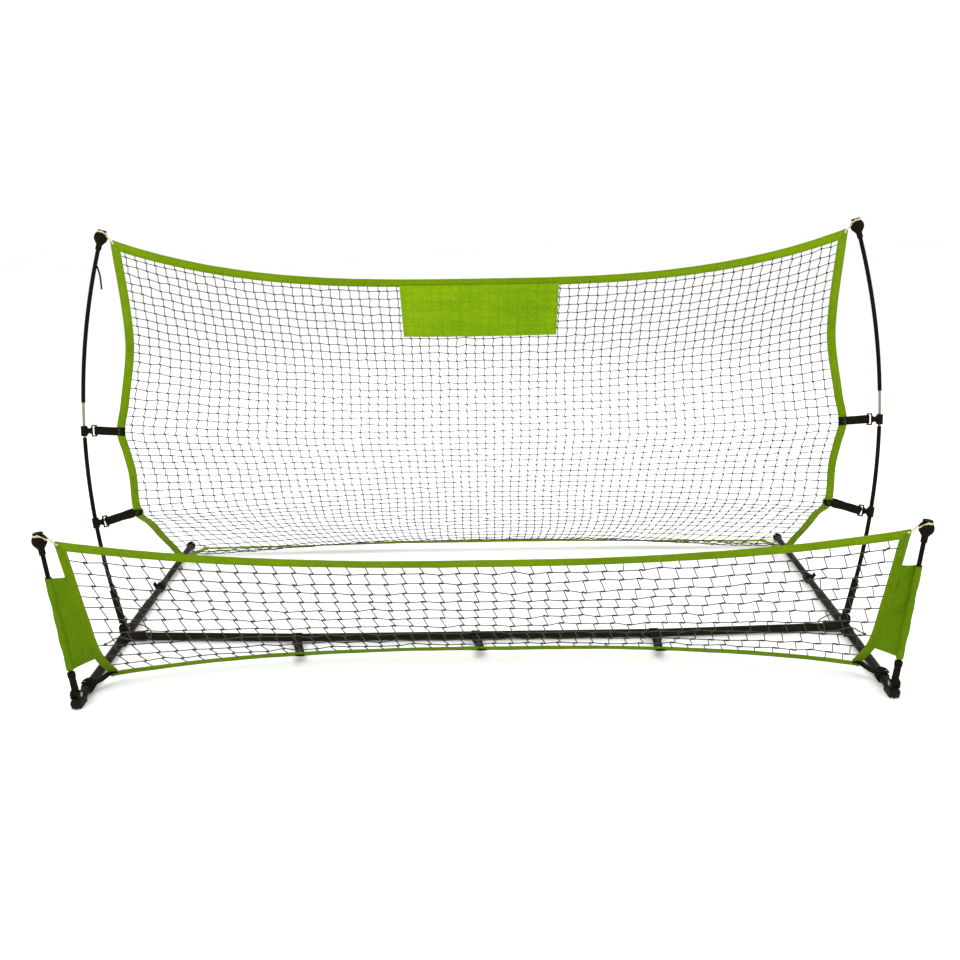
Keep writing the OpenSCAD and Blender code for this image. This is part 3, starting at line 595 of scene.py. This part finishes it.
def panel_look(name, strength, warmth=1.0, cell=None):
    """Woven panel; cell is the (width, height) of the netting that shows through it faintly."""
    look = cloth(name)
    look.weave(0.0008, 0.0008, 0.0002)
    colour = fabric_colour(look, strength, warmth)
    if cell:
        split = look.node("SeparateXYZ")
        look.link(look.node("UVMap", uv_map="lay").outputs[0], split.inputs[0])
        lines = []
        for axis, pitch in (("X", cell[0]), ("Y", cell[1])):
            beat = look.math("PINGPONG", split.outputs[axis], pitch / 2)
            lines.append(look.ramp(look.math("DIVIDE", beat, pitch), [(0.0, 1.0), (0.09, 0.0)]))
        net = look.math("MAXIMUM", *lines)
        colour = look.mix(look.math("MULTIPLY", net, 0.30), colour, GROOVE_SHADE_AND_NET_GREEN)
        look.bump(net, 0.0008, 0.5)
    look.colour(colour)
    look.bump(look.noise(look.place(), 35, 4), 0.002, 0.5)
    return look.material


def floor_look():
    look = Look("floor", roughness=0.7)
    tone = look.noise(look.place(), 1.5, 3)
    look.colour(look.ramp(tone, [(0.3, (0.93, 0.93, 0.925)), (0.7, (0.95, 0.95, 0.945))]))
    return look.material


STEEL = coated_steel("base_tube_coat")
POLE = coated_steel("pole_coat", (0.0044, 0.0034, 0.0014), (0.0078, 0.0060, 0.0026))
PLASTIC = moulded_plastic("moulded_nylon")
RUBBER = moulded_plastic("cap_rubber", (0.0046, 0.0036, 0.0018), (0.5, 0.72))
CLIP = moulded_plastic("clip_nylon", (0.0048, 0.0038, 0.0018), (0.34, 0.5))
ROD = bare_rod("rod_resin")
ZINC = zinc("zinc_pins")
DARK_STEEL = zinc("blackened_pins", (0.012, 0.011, 0.009), (0.035, 0.032, 0.027))
WEB = webbing_look("black_webbing")
ELASTIC = cord_look("cream_elastic", (0.36, 0.28, 0.13), (0.60, 0.50, 0.27))
TACK = cord_look("green_thread", (0.030, 0.060, 0.0010), (0.070, 0.130, 0.0020), 0.0014)
CORD = cord_look("black_elastic", (0.008, 0.007, 0.006), (0.035, 0.031, 0.026))
TWINE = twine_look("net_twine")
# painted shade: the knots use a darker copy of the net twine, for the shade inside their tight wraps
KNOTS = twine_look("knot_twine_painted_shade", (0.0025, 0.002, 0.0014), (0.009, 0.0078, 0.005), (0.014, 0.012, 0.009))
# the same green cloth is made at a brightness for each part: the side bindings, the front bindings and the
# sleeve panel are darker copies, which is painted shade
BACK_TAPE = binding_look("green_binding", BINDING, 0.68, 1.05)
SHADED_BACK_SIDE_TAPE = binding_look("green_side_binding", BINDING, 0.62, 1.03)
SHADED_FRONT_TAPE = binding_look("front_green_binding", BINDING, 0.62, 1.05)
SHADED_FRONT_SIDE_TAPE = binding_look("front_side_binding", BINDING, 0.50)
SHADED_PANEL = panel_look("green_panel", 0.48, 0.93)
PATCH = panel_look("green_patch", 0.93, cell=(0.0284, 0.0262))

# ---- CAD nodes that keep their shape ----

KEPT = {
    "cross_tube": STEEL, "rail": STEEL, "rear_rail_left": STEEL, "rear_rail_right": STEEL,
    "cross_spigots": ZINC, "hub_pins": DARK_STEEL, "front_pins": ZINC, "hub": PLASTIC,
    "front_foot": PLASTIC, "rear_end_cap": PLASTIC, "rear_socket": PLASTIC,
    "front_socket": PLASTIC, "lower_pole": POLE, "upper_pole": POLE, "front_pole": POLE,
    "pole_rod": ROD, "top_cap": RUBBER, "front_cap": RUBBER, "mid_clip": CLIP, "low_clip": CLIP,
}
BEVELLED = ("hub_left", "hub_right", "front_foot", "mid_clip", "low_clip", "rear_end_cap")


def dress(node, material):
    piece = nodes[node]
    piece.data.materials.clear()
    piece.data.materials.append(material)
    if node.startswith(BEVELLED):
        bevel = piece.modifiers.new("soft_edges", "BEVEL")
        bevel.width = 0.0008
        bevel.segments = 2
        bevel.limit_method = "ANGLE"
        bevel.angle_limit = math.radians(40)


for name in nodes:
    stems = [s for s in KEPT if name == s or name in (s + "_left", s + "_right", s + "_middle")]
    if stems:
        dress(name, KEPT[max(stems, key=len)])

# ---- Nets ----

REAR_FOLLOW = (math.radians(2), math.radians(66))
FRONT_FOLLOW = (0, math.radians(90))


def follow(piece, axis, limits, held=None):
    """Bakes a soft piece's transform and works out how far each point would turn as it lies down with a
    pole: the steeper a point lies above the fold axis, the more it would turn. held, of each point, is how
    firmly the pole itself holds it. The turn is not applied, so the piece keeps its shape."""
    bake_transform(piece)
    points = np.zeros(len(piece.data.vertices) * 3)
    piece.data.vertices.foreach_get("co", points)
    points = points.reshape(-1, 3) - [0, ORIGIN_Y, 0]
    angle = np.arctan2(points[:, 2] - axis[2], points[:, 1] - axis[1])
    share = np.clip((angle - limits[0]) / (limits[1] - limits[0]), 0, 1)
    if held is not None:
        share = share + (1 - share) * held(points)
    return piece


def follow_back(piece):
    return follow(piece, REAR_AXIS, REAR_FOLLOW)


def follow_front(piece):
    return follow(piece, FRONT_AXIS, FRONT_FOLLOW)


def round_front_pole(points):
    """1 on the cloth round a front pole, 0 where it meets the net's side binding."""
    foot, head = front_place(0), front_place(1)
    here = np.abs(points) * [1, 0, 0] + points * [0, 1, 1]
    run = unit(head - foot)
    away = np.linalg.norm(np.cross(here - foot, run), axis=1)
    free = np.clip((away - SLEEVE_R - 0.001) / 0.010, 0, 1)
    return 1 - free * free * (3 - 2 * free)


def net_frame(point, u, v):
    """The point of a net and its directions across, down and out of it."""
    h = 1e-3
    here = point(u, v)
    across = unit(point(u + h, v) - point(u - h, v))
    down = unit(point(u, np.minimum(v + h, 1)) - point(u, np.maximum(v - h, 0)))
    return here, across, down, unit(np.cross(across, down))


def inset(point, u, v, step_u, step_v):
    """How far in u or v the middle of the binding lies from an edge of a net."""
    h = 1e-3
    slope = np.linalg.norm(point(u + h * step_u, v + h * step_v) - point(u, v), axis=-1) / h
    return np.minimum(0.5 * BINDING / slope, 0.03)


def netting(point, columns, rows, twine, slants, loose, with_knots=False):
    """Strings and knots of a net. slants is how far, in cells, each upright runs sideways at the
    left and right edges. The strings lie still near the bindings that cover their ends."""
    s, t = np.linspace(0, 1, columns + 1), np.linspace(0, 1, rows + 1)
    side, top = inset(point, np.ones(rows + 1), t, -1, 0), inset(point, 2 * s - 1, 0 * s, 0, 1)
    foot = inset(point, 2 * s - 1, 0 * s + 1, 0, -1)
    u = (1 - side)[:, None] * (2 * s - 1)
    v = top + t[:, None] * (1 - top - foot)
    cell = 2 / columns
    shift_u = rng.normal(0, 0.035 * cell, (rows + 1, columns + 1))
    shift_v = rng.normal(0, 0.05 / rows, (rows + 1, columns + 1))
    lift = rng.normal(0, loose, (rows + 1, columns + 1))
    for values in (lift, shift_v):
        values[[0, -1]], values[:, [0, -1]] = 0, 0
    shift_u[:, [0, -1]] = 0
    slant = slants[0] + (slants[1] - slants[0]) * s
    rightwards = slants[0] > 0
    grid_v = v + shift_v
    start_u = u + shift_u
    end_u = start_u + slant * cell
    end_u[:, -1] = start_u[:, -1]
    strings = Shape()
    knots = strings if with_knots else Shape()
    knot = twine * (0.85 if with_knots else 0.86)
    profile = ring(twine, 6)

    def place(uu):
        here, across, _, out = net_frame(point, uu, grid_v)
        return here + out * lift[..., None], across, out

    low, low_across, low_out = place(start_u)
    high = place(end_u)[0]
    for j in range(rows + 1):
        path = np.empty((2 * columns + 2, 3))
        path[0::2], path[1::2] = (low[j], high[j]) if rightwards else (high[j], low[j])
        keep = np.append(True, np.linalg.norm(np.diff(path, axis=0), axis=1) > 1e-4)
        strings.sweep(path[keep], low_out[0, 0], profile)
    for j in range(rows):
        for i in range(columns + 1):
            strings.sweep(np.array([low[j, i], high[j + 1, i]]), low_out[j, i], profile)
    reach = np.linalg.norm(high - low, axis=-1) / 2
    for j in range(1, rows):
        for i in range(1, columns):
            axes = np.array([low_across[j, i], np.cross(low_out[j, i], low_across[j, i]), low_out[j, i]])
            turn = rng.normal(0, 0.2)
            axes[:2] = [axes[0] * math.cos(turn) + axes[1] * math.sin(turn),
                        axes[1] * math.cos(turn) - axes[0] * math.sin(turn)]
            size = np.array([reach[j, i] + knot, 1.25 * knot, 1.05 * knot])
            knots.blob((low[j, i] + high[j, i]) / 2, size, axes)
    return strings, knots


BACK_U, BACK_V = BINDING / HALF, BINDING / BACK_LENGTH
FRONT_U, FRONT_V = BINDING / HALF, BINDING / FRONT_LENGTH_NET
BACK_TWINE, FRONT_TWINE = 0.0024, 0.0028

strings, knots = netting(back_point, 75, 45, BACK_TWINE, (-0.14, -0.14), 0.0011)
back_twine = follow_back(strings.make("back_net_twine", TWINE))
back_ties = follow_back(knots.make("back_net_knots", KNOTS))
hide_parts("back_net")
strings, _ = netting(front_point, 45, 11, FRONT_TWINE, (0.22, 0.36), 0.0014, True)
front_twine = follow_front(strings.make("front_net_twine", TWINE))
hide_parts("front_net")


MITRE = 0.023


def hem(name, point, u, v, inwards, thickness, tape):
    """Binding tape along one edge of a net. inwards is the (u, v) step across the tape."""
    shape = Shape()
    outer, inner = point(u, v), point(u + inwards[0], v + inwards[1])
    across = unit(inner - outer)
    path = outer + across * BINDING / 2
    run = unit(np.gradient(path, axis=0))
    out = unit(np.cross(run, across))
    # the seam draws the tape in a little, unevenly
    far = np.concatenate([[0], np.cumsum(np.linalg.norm(np.diff(path, axis=0), axis=1))])
    phase = rng.uniform(0, 6.28, 4)
    ripple = sum(np.sin(far * 2 * math.pi / pitch + phase[k]) * size
                 for k, (pitch, size) in enumerate(((0.071, 0.00010), (0.19, 0.00025), (0.5, 0.0005))))
    path = path + out * ripple[:, None] + across * (0.5 * np.roll(ripple, 5))[:, None]
    twist = 0.015 * np.sin(far * 2 * math.pi / 0.11 + phase[0]) + 0.03 * np.sin(far * 2 * math.pi / 0.63)
    across = across * np.cos(twist)[:, None] + out * np.sin(twist)[:, None]
    # the ends are mitred
    left = np.minimum(far, far[-1] - far)
    shape.sweep(path, across, rounded(BINDING, thickness, 4), width=np.clip(left / MITRE, 0.12, 1))
    return shape.make(name, tape)


def hems(prefix, point, edge_u, edge_v, count_u, count_v, settle, tape, side_tape):
    """The four bindings of a net, each lapping the next at the corners."""
    u, v = np.linspace(-1, 1, count_u), np.linspace(0, 1, count_v)
    made = [
        hem(prefix + "_hem_top", point, u, np.zeros(count_u), (0 * u, edge_v), 0.0038, tape),
        hem(prefix + "_hem_bottom", point, u, np.ones(count_u), (0 * u, -edge_v), 0.0038, tape),
        hem(prefix + "_hem_left", point, -np.ones(count_v), v, (edge_u, 0), 0.0032, side_tape),
        hem(prefix + "_hem_right", point, np.ones(count_v), v, (-edge_u, 0), 0.0032, side_tape),
    ]
    for piece in made:
        settle(piece)
    return made


back_hems = hems("back", back_point, BACK_U, BACK_V, 420, 300, follow_back,
                 BACK_TAPE, SHADED_BACK_SIDE_TAPE)
front_hems = hems("front", front_point, FRONT_U, FRONT_V, 420, 110, follow_front,
                  SHADED_FRONT_TAPE, SHADED_FRONT_SIDE_TAPE)
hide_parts("back_binding")
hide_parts("front_binding")


def patch():
    """The plain patch under the top binding, with soft wrinkles that calm towards its edges."""
    rows, cols = 60, 150
    reach = PATCH_W / 2 / HALF
    s, t = np.meshgrid(np.linspace(-1, 1, cols), np.linspace(0, 1, rows))
    here, _, down, out = net_frame(back_point, reach * s, BACK_V * 0.7 + t * PATCH_H / BACK_LENGTH)
    wide, tall = s * PATCH_W / 2, t * PATCH_H
    fold = (0.0012 * np.sin(wide * 17 + 3 * tall * 20) * np.sin(tall * 34 + 1)
            + 0.0005 * np.sin(wide * 51 + 5 * np.sin(tall * 33)) + 0.0010 * np.sin(wide * 9 - tall * 95))
    edge = np.minimum(1 - np.abs(s), np.minimum(t, 1 - t) * 0.7) / 0.045
    calm = np.clip(edge, 0, 1)
    pulled = 0.004 * (1 - np.cos(2 * np.pi * (s + 1) * 3.5)) / 2 * np.clip(t - 0.55, 0, 1) ** 2
    # over the binding at the top, then just clear of the knots behind it
    away = 0.0031 + 0.0027 * np.clip(t / 0.13, 0, 1)
    here = here - out * (away + fold * calm)[..., None] - down * pulled[..., None]
    shape = Shape()
    shape.grid(here, np.stack([wide, tall], axis=-1), 0.0012)
    piece = shape.make("back_patch_cloth", PATCH)
    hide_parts("back_patch")
    return follow_back(piece)


back_patch = patch()

# ---- Straps, cords and small fittings ----


def strap(shape, points, across, width, thickness, count):
    shape.sweep(smooth_path(points, count), across, rounded(width, thickness, 3))


def cord(shape, points, diameter, count, closed=False):
    shape.sweep(smooth_path(points, count, closed), (0.13, 0.4, 0.9), ring(diameter, CORD_SIDES), closed)


def finish_piece(shape, name, material, body, slot, *replaced):
    piece = shape.make(name, material)
    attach(piece, body)
    if replaced:
        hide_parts(*replaced)


def stitches(shape, start, end, out, thread=0.0009):
    """A row of short stitches between two points, raised a little along out."""
    count = max(2, round(np.linalg.norm(end - start) / 0.0036))
    for k in range(count):
        s, e = start + (end - start) * (k + 0.12) / count, start + (end - start) * (k + 0.88) / count
        shape.sweep(np.array([s, (s + e) / 2 + out * thread * 0.35, e]), out, ring(thread, 5))


def stitch_box(shape, middle, across, down, size):
    """A sewn box with a cross in it."""
    a, b = across * size[0] / 2, down * size[1] / 2
    corners = [middle - a - b, middle + a - b, middle + a + b, middle - a + b]
    lines = [(corners[k], corners[(k + 1) % 4]) for k in range(4)]
    for p, q in lines + [(corners[0], corners[2]), (corners[1], corners[3])]:
        stitches(shape, p, q, np.cross(across, down))


def net_strap(side, height, v, name):
    """Webbing that runs through a clip's slot and is sewn over the edge of the back net."""
    word = "right" if side > 0 else "left"
    out, up, back = pole_axes(height, side)
    post = pole_place(height, -0.034, side)
    edge, _, down, _ = net_frame(back_point, np.array(side * 1.0), np.array(v))
    inward = unit(back_point(np.array(side * (1 - BACK_U)), np.array(v)) - edge)
    inner = edge + inward * BINDING * 0.97
    normal = unit(np.cross(inward, down))
    if normal[1] > 0:
        normal = -normal
    face = normal * 0.0033
    towards = unit(post - edge)
    loop = [
        inner + face, edge + face * 1.05, edge + towards * 0.012 + face * 0.9,
        edge + (post - edge) * 0.5 - back * 0.0016, post - out * 0.004 - back * 0.0030,
        post - back * 0.0042, post + out * 0.0042, post + back * 0.0042,
        post - out * 0.004 + back * 0.0030, edge + (post - edge) * 0.5 + back * 0.0016,
        edge + towards * 0.012 - face * 0.9, edge - face * 1.05, inner - face,
    ]
    count = 96
    path = smooth_path(loop, count)
    ends = unit(np.cross(np.cross(inward, -down), inward))
    ends = ends if ends @ up > 0 else -ends
    from_end = np.minimum(np.arange(count), count - 1 - np.arange(count))
    share = np.clip(from_end / (0.32 * count), 0, 1)[:, None]
    shape = Shape()
    shape.sweep(path, unit(ends * (1 - share) + up * share), rounded(WEBBING, STRAP_T, 3))
    middle = (inner + edge) / 2
    for sign in (1, -1):
        stitch_box(shape, middle + sign * normal * 0.0044, inward * sign, -ends, (0.017, 0.019))
    # two green bar tacks across the webbing, just inside the net's edge
    tacks = Shape()
    for far in (0.003, 0.0075):
        foot = edge + inward * far + normal * 0.0046
        stitches(tacks, foot - ends * 0.011, foot + ends * 0.011, normal, 0.0014)
    finish_piece(tacks, f"{name}_tacks_{word}", TACK, "rear_pole_" + word, "binding")
    finish_piece(shape, f"{name}_webbing_{word}", WEB, "rear_pole_" + word, "webbing",
                 f"{name}_{word}")


def torus_path(middle, x_axis, y_axis, radius, start, stop, count):
    a = np.linspace(start, stop, count)
    return middle + radius * (np.cos(a)[:, None] * x_axis + np.sin(a)[:, None] * y_axis)


def cap_loop(side, ball, up, corner, body, name, *replaced):
    """Cream elastic, doubled: round the groove of a cap and down to the corner of a net."""
    shape = Shape()
    aim = unit(corner - ball)
    aim = unit(aim - (aim @ up) * up)
    cross = np.cross(up, aim)
    for level in (0.0146, 0.0168):
        groove = ball + up * level
        turn = torus_path(groove, -aim, cross, 0.0141, -math.pi * 0.60, math.pi * 0.60, 17)
        leg = [corner + cross * 0.0014, *turn, corner - cross * 0.0014]
        cord(shape, leg, 0.0026, 100)
    axes = np.array([aim, cross, up])
    for k in (-1, 1):
        shape.blob(corner + aim * 0.0016 * k, np.array([0.0026, 0.0030, 0.0030]), axes, 8, 12)
    finish_piece(shape, name, ELASTIC, body, "cream_elastic", *replaced)


for side, word in ((-1, "left"), (1, "right")):
    net_strap(side, MID_CLIP, 0.467, "mid_strap")
    net_strap(side, LOW_CLIP, 0.711, "low_strap")
    _, up, _ = pole_axes(POLE_HEIGHT, side)
    corner = back_point(np.array(side * 0.994), np.array(0.008))
    cap_loop(side, pole_place(POLE_HEIGHT, 0, side), up, corner, "rear_pole_" + word,
             f"top_elastic_cord_{word}", f"top_elastic_{word}")
    up = unit(front_place(1, 0, side) - front_place(0, 0, side))
    corner = front_point(np.array(side * 0.994), np.array(0.02))
    cap_loop(side, front_place(FRONT_LENGTH, 0, side), up, corner, "front_pole_" + word,
             f"front_elastic_cord_{word}")


def cross_strap(word):
    """Webbing round the cross tube, sewn to itself, whose end is sewn under the front net's binding."""
    x, hem_x = CROSS_STRAPS[word]
    y = -CROSS_BOW * min(1, (HALF - abs(x)) / (HALF - CROSS_JOINT))
    tube = np.array([x, y, RAIL.z])
    edge = front_point(np.array(hem_x / HALF), np.array(1.0))
    wrap = torus_path(tube, np.array([0, 1.0, 0]), np.array([0, 0, 1.0]), CROSS_R + 0.0014, -2.6, 2.75, 26)
    leave, lower = wrap[-1], wrap[0]
    skew = np.array([(hem_x - x) / (edge[1] - y), 1, 0])
    under = edge + [0, -0.004, -0.0036]
    path = [lower + skew * -0.034 + [0, 0, 0.0035], lower + skew * -0.012 + [0, 0, 0.002], *wrap,
            (leave + under) / 2 + [0, 0, 0.001], under + skew * 0.012, under - skew * 0.014 + [0, 0, 0.010]]
    shape = Shape()
    strap(shape, path, (1, 0, 0), WEBBING, STRAP_T, 120)
    sewn = leave - skew * 0.022 + [0, 0, 0.0012]
    stitch_box(shape, sewn, np.array([1.0, 0, 0]), -unit(skew), (0.018, 0.012))
    finish_piece(shape, f"cross_strap_webbing_{word}", WEB, "base", "webbing", f"cross_strap_{word}")


for word in CROSS_STRAPS:
    cross_strap(word)


def cuff(shape, middle, radius, width, turns, start):
    """Webbing wrapped round a rail that runs along Y."""
    a = np.linspace(start, start + 2 * math.pi * turns, 60)
    grow = radius + 0.0018 * (a - start) / (2 * math.pi)
    path = middle + np.column_stack([grow * np.cos(a), 0 * a, grow * np.sin(a)])
    shape.sweep(path, (0, 1, 0), rounded(width, 0.0017, 3))


def rear_cuff(side, word):
    """Hook-and-loop cuff round a rear rail, whose tail stands off."""
    y = centre("rear_rail_cuff_" + word).y - ORIGIN_Y
    middle = np.array([side * HALF, y, RAIL.z])
    shape = Shape()
    cuff(shape, middle, 0.0112, 0.030, 2.05, math.pi * (0.1 if side > 0 else 0.9))
    r = np.array([side * 1.0, 0, 0])
    tail = [middle + r * 0.0135 + [0, 0, -0.004], middle + r * 0.0150 + [0, -0.001, 0.004],
            middle + r * 0.0175 + [0, -0.002, 0.010], middle + r * 0.0220 + [0, -0.003, 0.015]]
    strap(shape, tail, (0, 1, 0.15), WEBBING * 0.9, STRAP_T, 16)
    finish_piece(shape, f"rail_cuff_webbing_{word}", WEB, "base", "webbing", "rear_rail_cuff_" + word)


def corner_strap(side, word):
    """Strap from a bottom corner of the front net to a buckled cuff on the rail."""
    middle = np.array([side * HALF, CORNER_CUFF_Y, RAIL.z])
    corner = front_point(np.array(side * 0.985), np.array(0.975))
    shape = Shape()
    cuff(shape, middle, 0.0138, 0.026, 1.6, math.pi * (0.35 if side > 0 else 0.05))
    cuff(shape, middle + [0, 0.017, 0], 0.0138, 0.009, 1.05, 0.3)
    r = np.array([side * 1.0, 0, 0])
    path = [corner + [0, 0, 0.004], corner + r * 0.010 + [0, -0.014, 0.007],
            middle - r * 0.030 + [0, 0.020, 0.012], middle - r * 0.016 + [0, 0.004, 0.010],
            middle - r * 0.010 + [0, 0, 0.0125]]
    strap(shape, path, unit([0.55 * side, 0.75, 0.2]), 0.020, STRAP_T, 30)
    finish_piece(shape, f"corner_strap_webbing_{word}", WEB, "base", "webbing", "front_corner_strap_" + word)
    # ladder buckle on top of the cuff
    buckle = Shape()
    top = middle + [0, 0, 0.0185]
    rim = [top + np.array([dx, dy, dz]) for dx, dy, dz in (
        (-0.013, -0.011, -0.004), (0, -0.012, 0.0005), (0.013, -0.011, -0.004),
        (0.0135, 0, -0.004), (0.013, 0.011, -0.004), (0, 0.012, 0.0005), (-0.013, 0.011, -0.004),
        (-0.0135, 0, -0.004))]
    cord(buckle, rim, 0.0042, 64, closed=True)
    bar = [top + np.array([dx, 0, -0.0035 + 0.004 * math.cos(dx * 90)])
           for dx in (-0.013, -0.006, 0, 0.006, 0.013)]
    cord(buckle, bar, 0.0036, 20)
    finish_piece(buckle, f"corner_buckle_{word}", CLIP, "base", "clips")


def corner_elastic(side, word, shape):
    """Cream elastic from the groove of a rear end cap to a bottom corner of the back net."""
    cap = centre("rear_end_cap_" + word)
    groove = np.array([side * HALF, cap.y - ORIGIN_Y + 0.005, RAIL.z])
    tip, inside = (back_point(np.array(side * u), np.array(v)) for u, v in ((1, 1), (0.9, 0.97)))
    corner = tip + unit(inside - tip) * 0.013 + [0, 0, 0.003]
    loop = torus_path(groove, np.array([side * 1.0, 0, 0]), np.array([0, 0, 1.0]), 0.0118,
                      -math.pi * 0.62, math.pi * 0.62, 13)
    low = corner + [0, 0, -0.001]
    cord(shape, [low, *loop, corner + [0, 0, 0.001]], 0.0030, 80)
    shape.blob(corner, np.array([0.0045, 0.0045, 0.0040]), np.eye(3), 8, 12)


corner_loops = Shape()
for side, word in ((-1, "left"), (1, "right")):
    rear_cuff(side, word)
    corner_strap(side, word)
    corner_elastic(side, word, corner_loops)
finish_piece(corner_loops, "rear_corner_cords", ELASTIC, "base", "cream_elastic", "rear_corner_elastics")

# Elastic lashing over each hub, as in the CAD model, with its knots and toggles
LASHING = [
    (0.040, -0.064, 0.016), (0.026, -0.058, 0.022), (0.014, -0.054, 0.029), (0, -0.052, 0.032),
    (-0.014, -0.050, 0.028), (-0.030, -0.040, 0.020), (-0.046, -0.028, 0.012),
    (-0.062, -0.024, 0.010), (-0.076, -0.026, 0.014), (-0.084, -0.024, 0.024),
    (-0.082, -0.012, 0.033), (-0.074, 0.004, 0.034), (-0.056, 0.026, 0.033),
    (-0.036, 0.046, 0.032), (-0.016, 0.058, 0.031), (0, 0.062, 0.031), (0.014, 0.060, 0.028),
    (0.022, 0.056, 0.020),
]


def lashing(side, shape):
    route = [(side * (HALF + x), y, z) for x, y, z in LASHING]
    cord(shape, route, 0.0036, 140)
    for end, inner in ((route[0], route[1]), (route[-1], route[-2])):
        aim = unit(np.array(end) - inner)
        cross = unit(np.cross(aim, (0, 0, 1)))
        axes = np.array([aim, cross, np.cross(aim, cross)])
        shape.blob(np.array(end), np.array([0.0055, 0.0045, 0.0045]), axes, 8, 12)


lashings = Shape()
for side in (-1, 1):
    lashing(side, lashings)
finish_piece(lashings, "hub_lashing_cords", CORD, "base", "black_cord", "hub_lashings")


def pull_tail():
    """Tape tail that hangs beside the left pole, below its cap."""
    top = pole_place(POLE_HEIGHT - 0.080, -0.0055, -1)
    shape = Shape()
    path = [top, top + [0.0040, 0, -0.016], top + [0.0066, 0, -0.032], top + [0.0072, 0, -0.068]]
    strap(shape, path, (0.4, 1, 0), 0.0062, 0.0034, 30)
    finish_piece(shape, "pull_tail_tape", WEB, "rear_pole_left", "webbing", "pull_tail")


pull_tail()

# ---- Front sleeves ----

SLEEVE_LOW, SLEEVE_HIGH = 0.070, 0.324
SLEEVE_R = 0.0088


def front_sleeve(side, word):
    """Cloth that wraps a front pole and is sewn to the side binding of the front net."""
    rows, cols = 70, 60
    t = np.linspace(0, 1, rows)
    length = SLEEVE_HIGH + (SLEEVE_LOW - SLEEVE_HIGH) * t
    points = np.empty((rows, cols, 3))
    uv = np.empty((rows, cols, 2))
    for i, reach in enumerate(length):
        pole = front_place(reach, 0, side)
        v_here = np.interp(pole[2], [p[2] for p in FRONT_EDGE[::-1]], FRONT_KNOTS[::-1])
        edge = front_point(np.array(side * (1 - 0.25 * FRONT_U)), np.array(v_here))
        aim = edge - pole
        wrinkle = 0.0007 * math.sin(reach * 95) + 0.0006 * math.sin(reach * 41 + 1)
        # round the pole from the flap, out and back, then along the flap to the binding
        angles = np.linspace(math.radians(28), math.radians(332), 40)
        base = math.atan2(aim[1], aim[0])
        for j, a in enumerate(angles + base):
            points[i, j] = pole + (SLEEVE_R + wrinkle) * np.array([math.cos(a), math.sin(a), 0])
        leave = points[i, 39].copy()
        for j in range(20):
            s = (j + 1) / 20
            sag = 0.003 * math.sin(math.pi * s) * math.sin(reach * 60 + 2 * s)
            points[i, 40 + j] = leave + (edge - leave) * s + np.array([0, -sag, 0])
        uv[i] = np.column_stack([np.full(cols, reach), np.linspace(-0.045, 0.045, cols)])
    shape = Shape()
    shape.grid(points, uv, 0.0012)
    piece = shape.make(f"front_sleeve_cloth_{word}", SHADED_PANEL)
    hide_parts("front_sleeve_" + word)
    follow(piece, FRONT_AXIS, FRONT_FOLLOW, round_front_pole)


for side, word in ((-1, "left"), (1, "right")):
    front_sleeve(side, word)

# ---- Floor, light and camera ----

floor_mesh = bpy.data.meshes.new("floor")
SPAN = 14
floor_corners = [(-SPAN, -SPAN, 0), (SPAN, -SPAN, 0), (SPAN, SPAN, 0), (-SPAN, SPAN, 0)]
floor_mesh.from_pydata(floor_corners, [], [(0, 1, 2, 3)])
floor_mesh.materials.append(floor_look())
floor = bpy.data.objects.new("floor", floor_mesh)
bpy.context.scene.collection.objects.link(floor)


def softbox(name, place, aim, size, power):
    light = bpy.data.lights.new(name, "AREA")
    light.shape = "RECTANGLE"
    light.size, light.size_y = size
    light.energy = power
    lamp = bpy.data.objects.new(name, light)
    lamp.location = place
    lamp.rotation_euler = (Vector(aim) - Vector(place)).to_track_quat("-Z", "Y").to_euler()
    bpy.context.scene.collection.objects.link(lamp)


world = bpy.data.worlds.new("studio")
world.use_nodes = True
world.node_tree.nodes["Background"].inputs["Color"].default_value = (1, 1, 1, 1)
world.node_tree.nodes["Background"].inputs["Strength"].default_value = 1.05
bpy.context.scene.world = world
softbox("key", (-2.6, -3.4, 3.8), (0, 0, 0.4), (2.2, 1.6), 130)
softbox("fill", (3.2, -2.6, 2.4), (0, 0, 0.4), (1.6, 2.0), 55)
softbox("rim", (0.6, 3.6, 3.0), (0, 0, 0.5), (2.6, 1.2), 70)

FOCAL = 1200  # picture widths of 960 put the lens at 45 mm on a 36 mm sensor
YAW, PITCH, ROLL = math.radians(-0.32), math.radians(15.52), math.radians(-0.92)
forward = Vector((math.sin(YAW) * math.cos(PITCH), math.cos(YAW) * math.cos(PITCH), -math.sin(PITCH)))
level = Vector((math.cos(YAW), -math.sin(YAW), 0))
lift = level.cross(forward)
right = level * math.cos(ROLL) + lift * math.sin(ROLL)
upward = -level * math.sin(ROLL) + lift * math.cos(ROLL)
view = bpy.data.cameras.new("camera")
view.lens = FOCAL / 960 * 36
view.sensor_width = 36
camera = bpy.data.objects.new("camera", view)
camera.matrix_world = Matrix.Translation((0.013, -3.304 + ORIGIN_Y, 1.397)) @ Matrix(
    (right, upward, -forward)).transposed().to_4x4()
bpy.context.scene.collection.objects.link(camera)
bpy.context.scene.camera = camera
bpy.context.scene.view_settings.view_transform = "Standard"
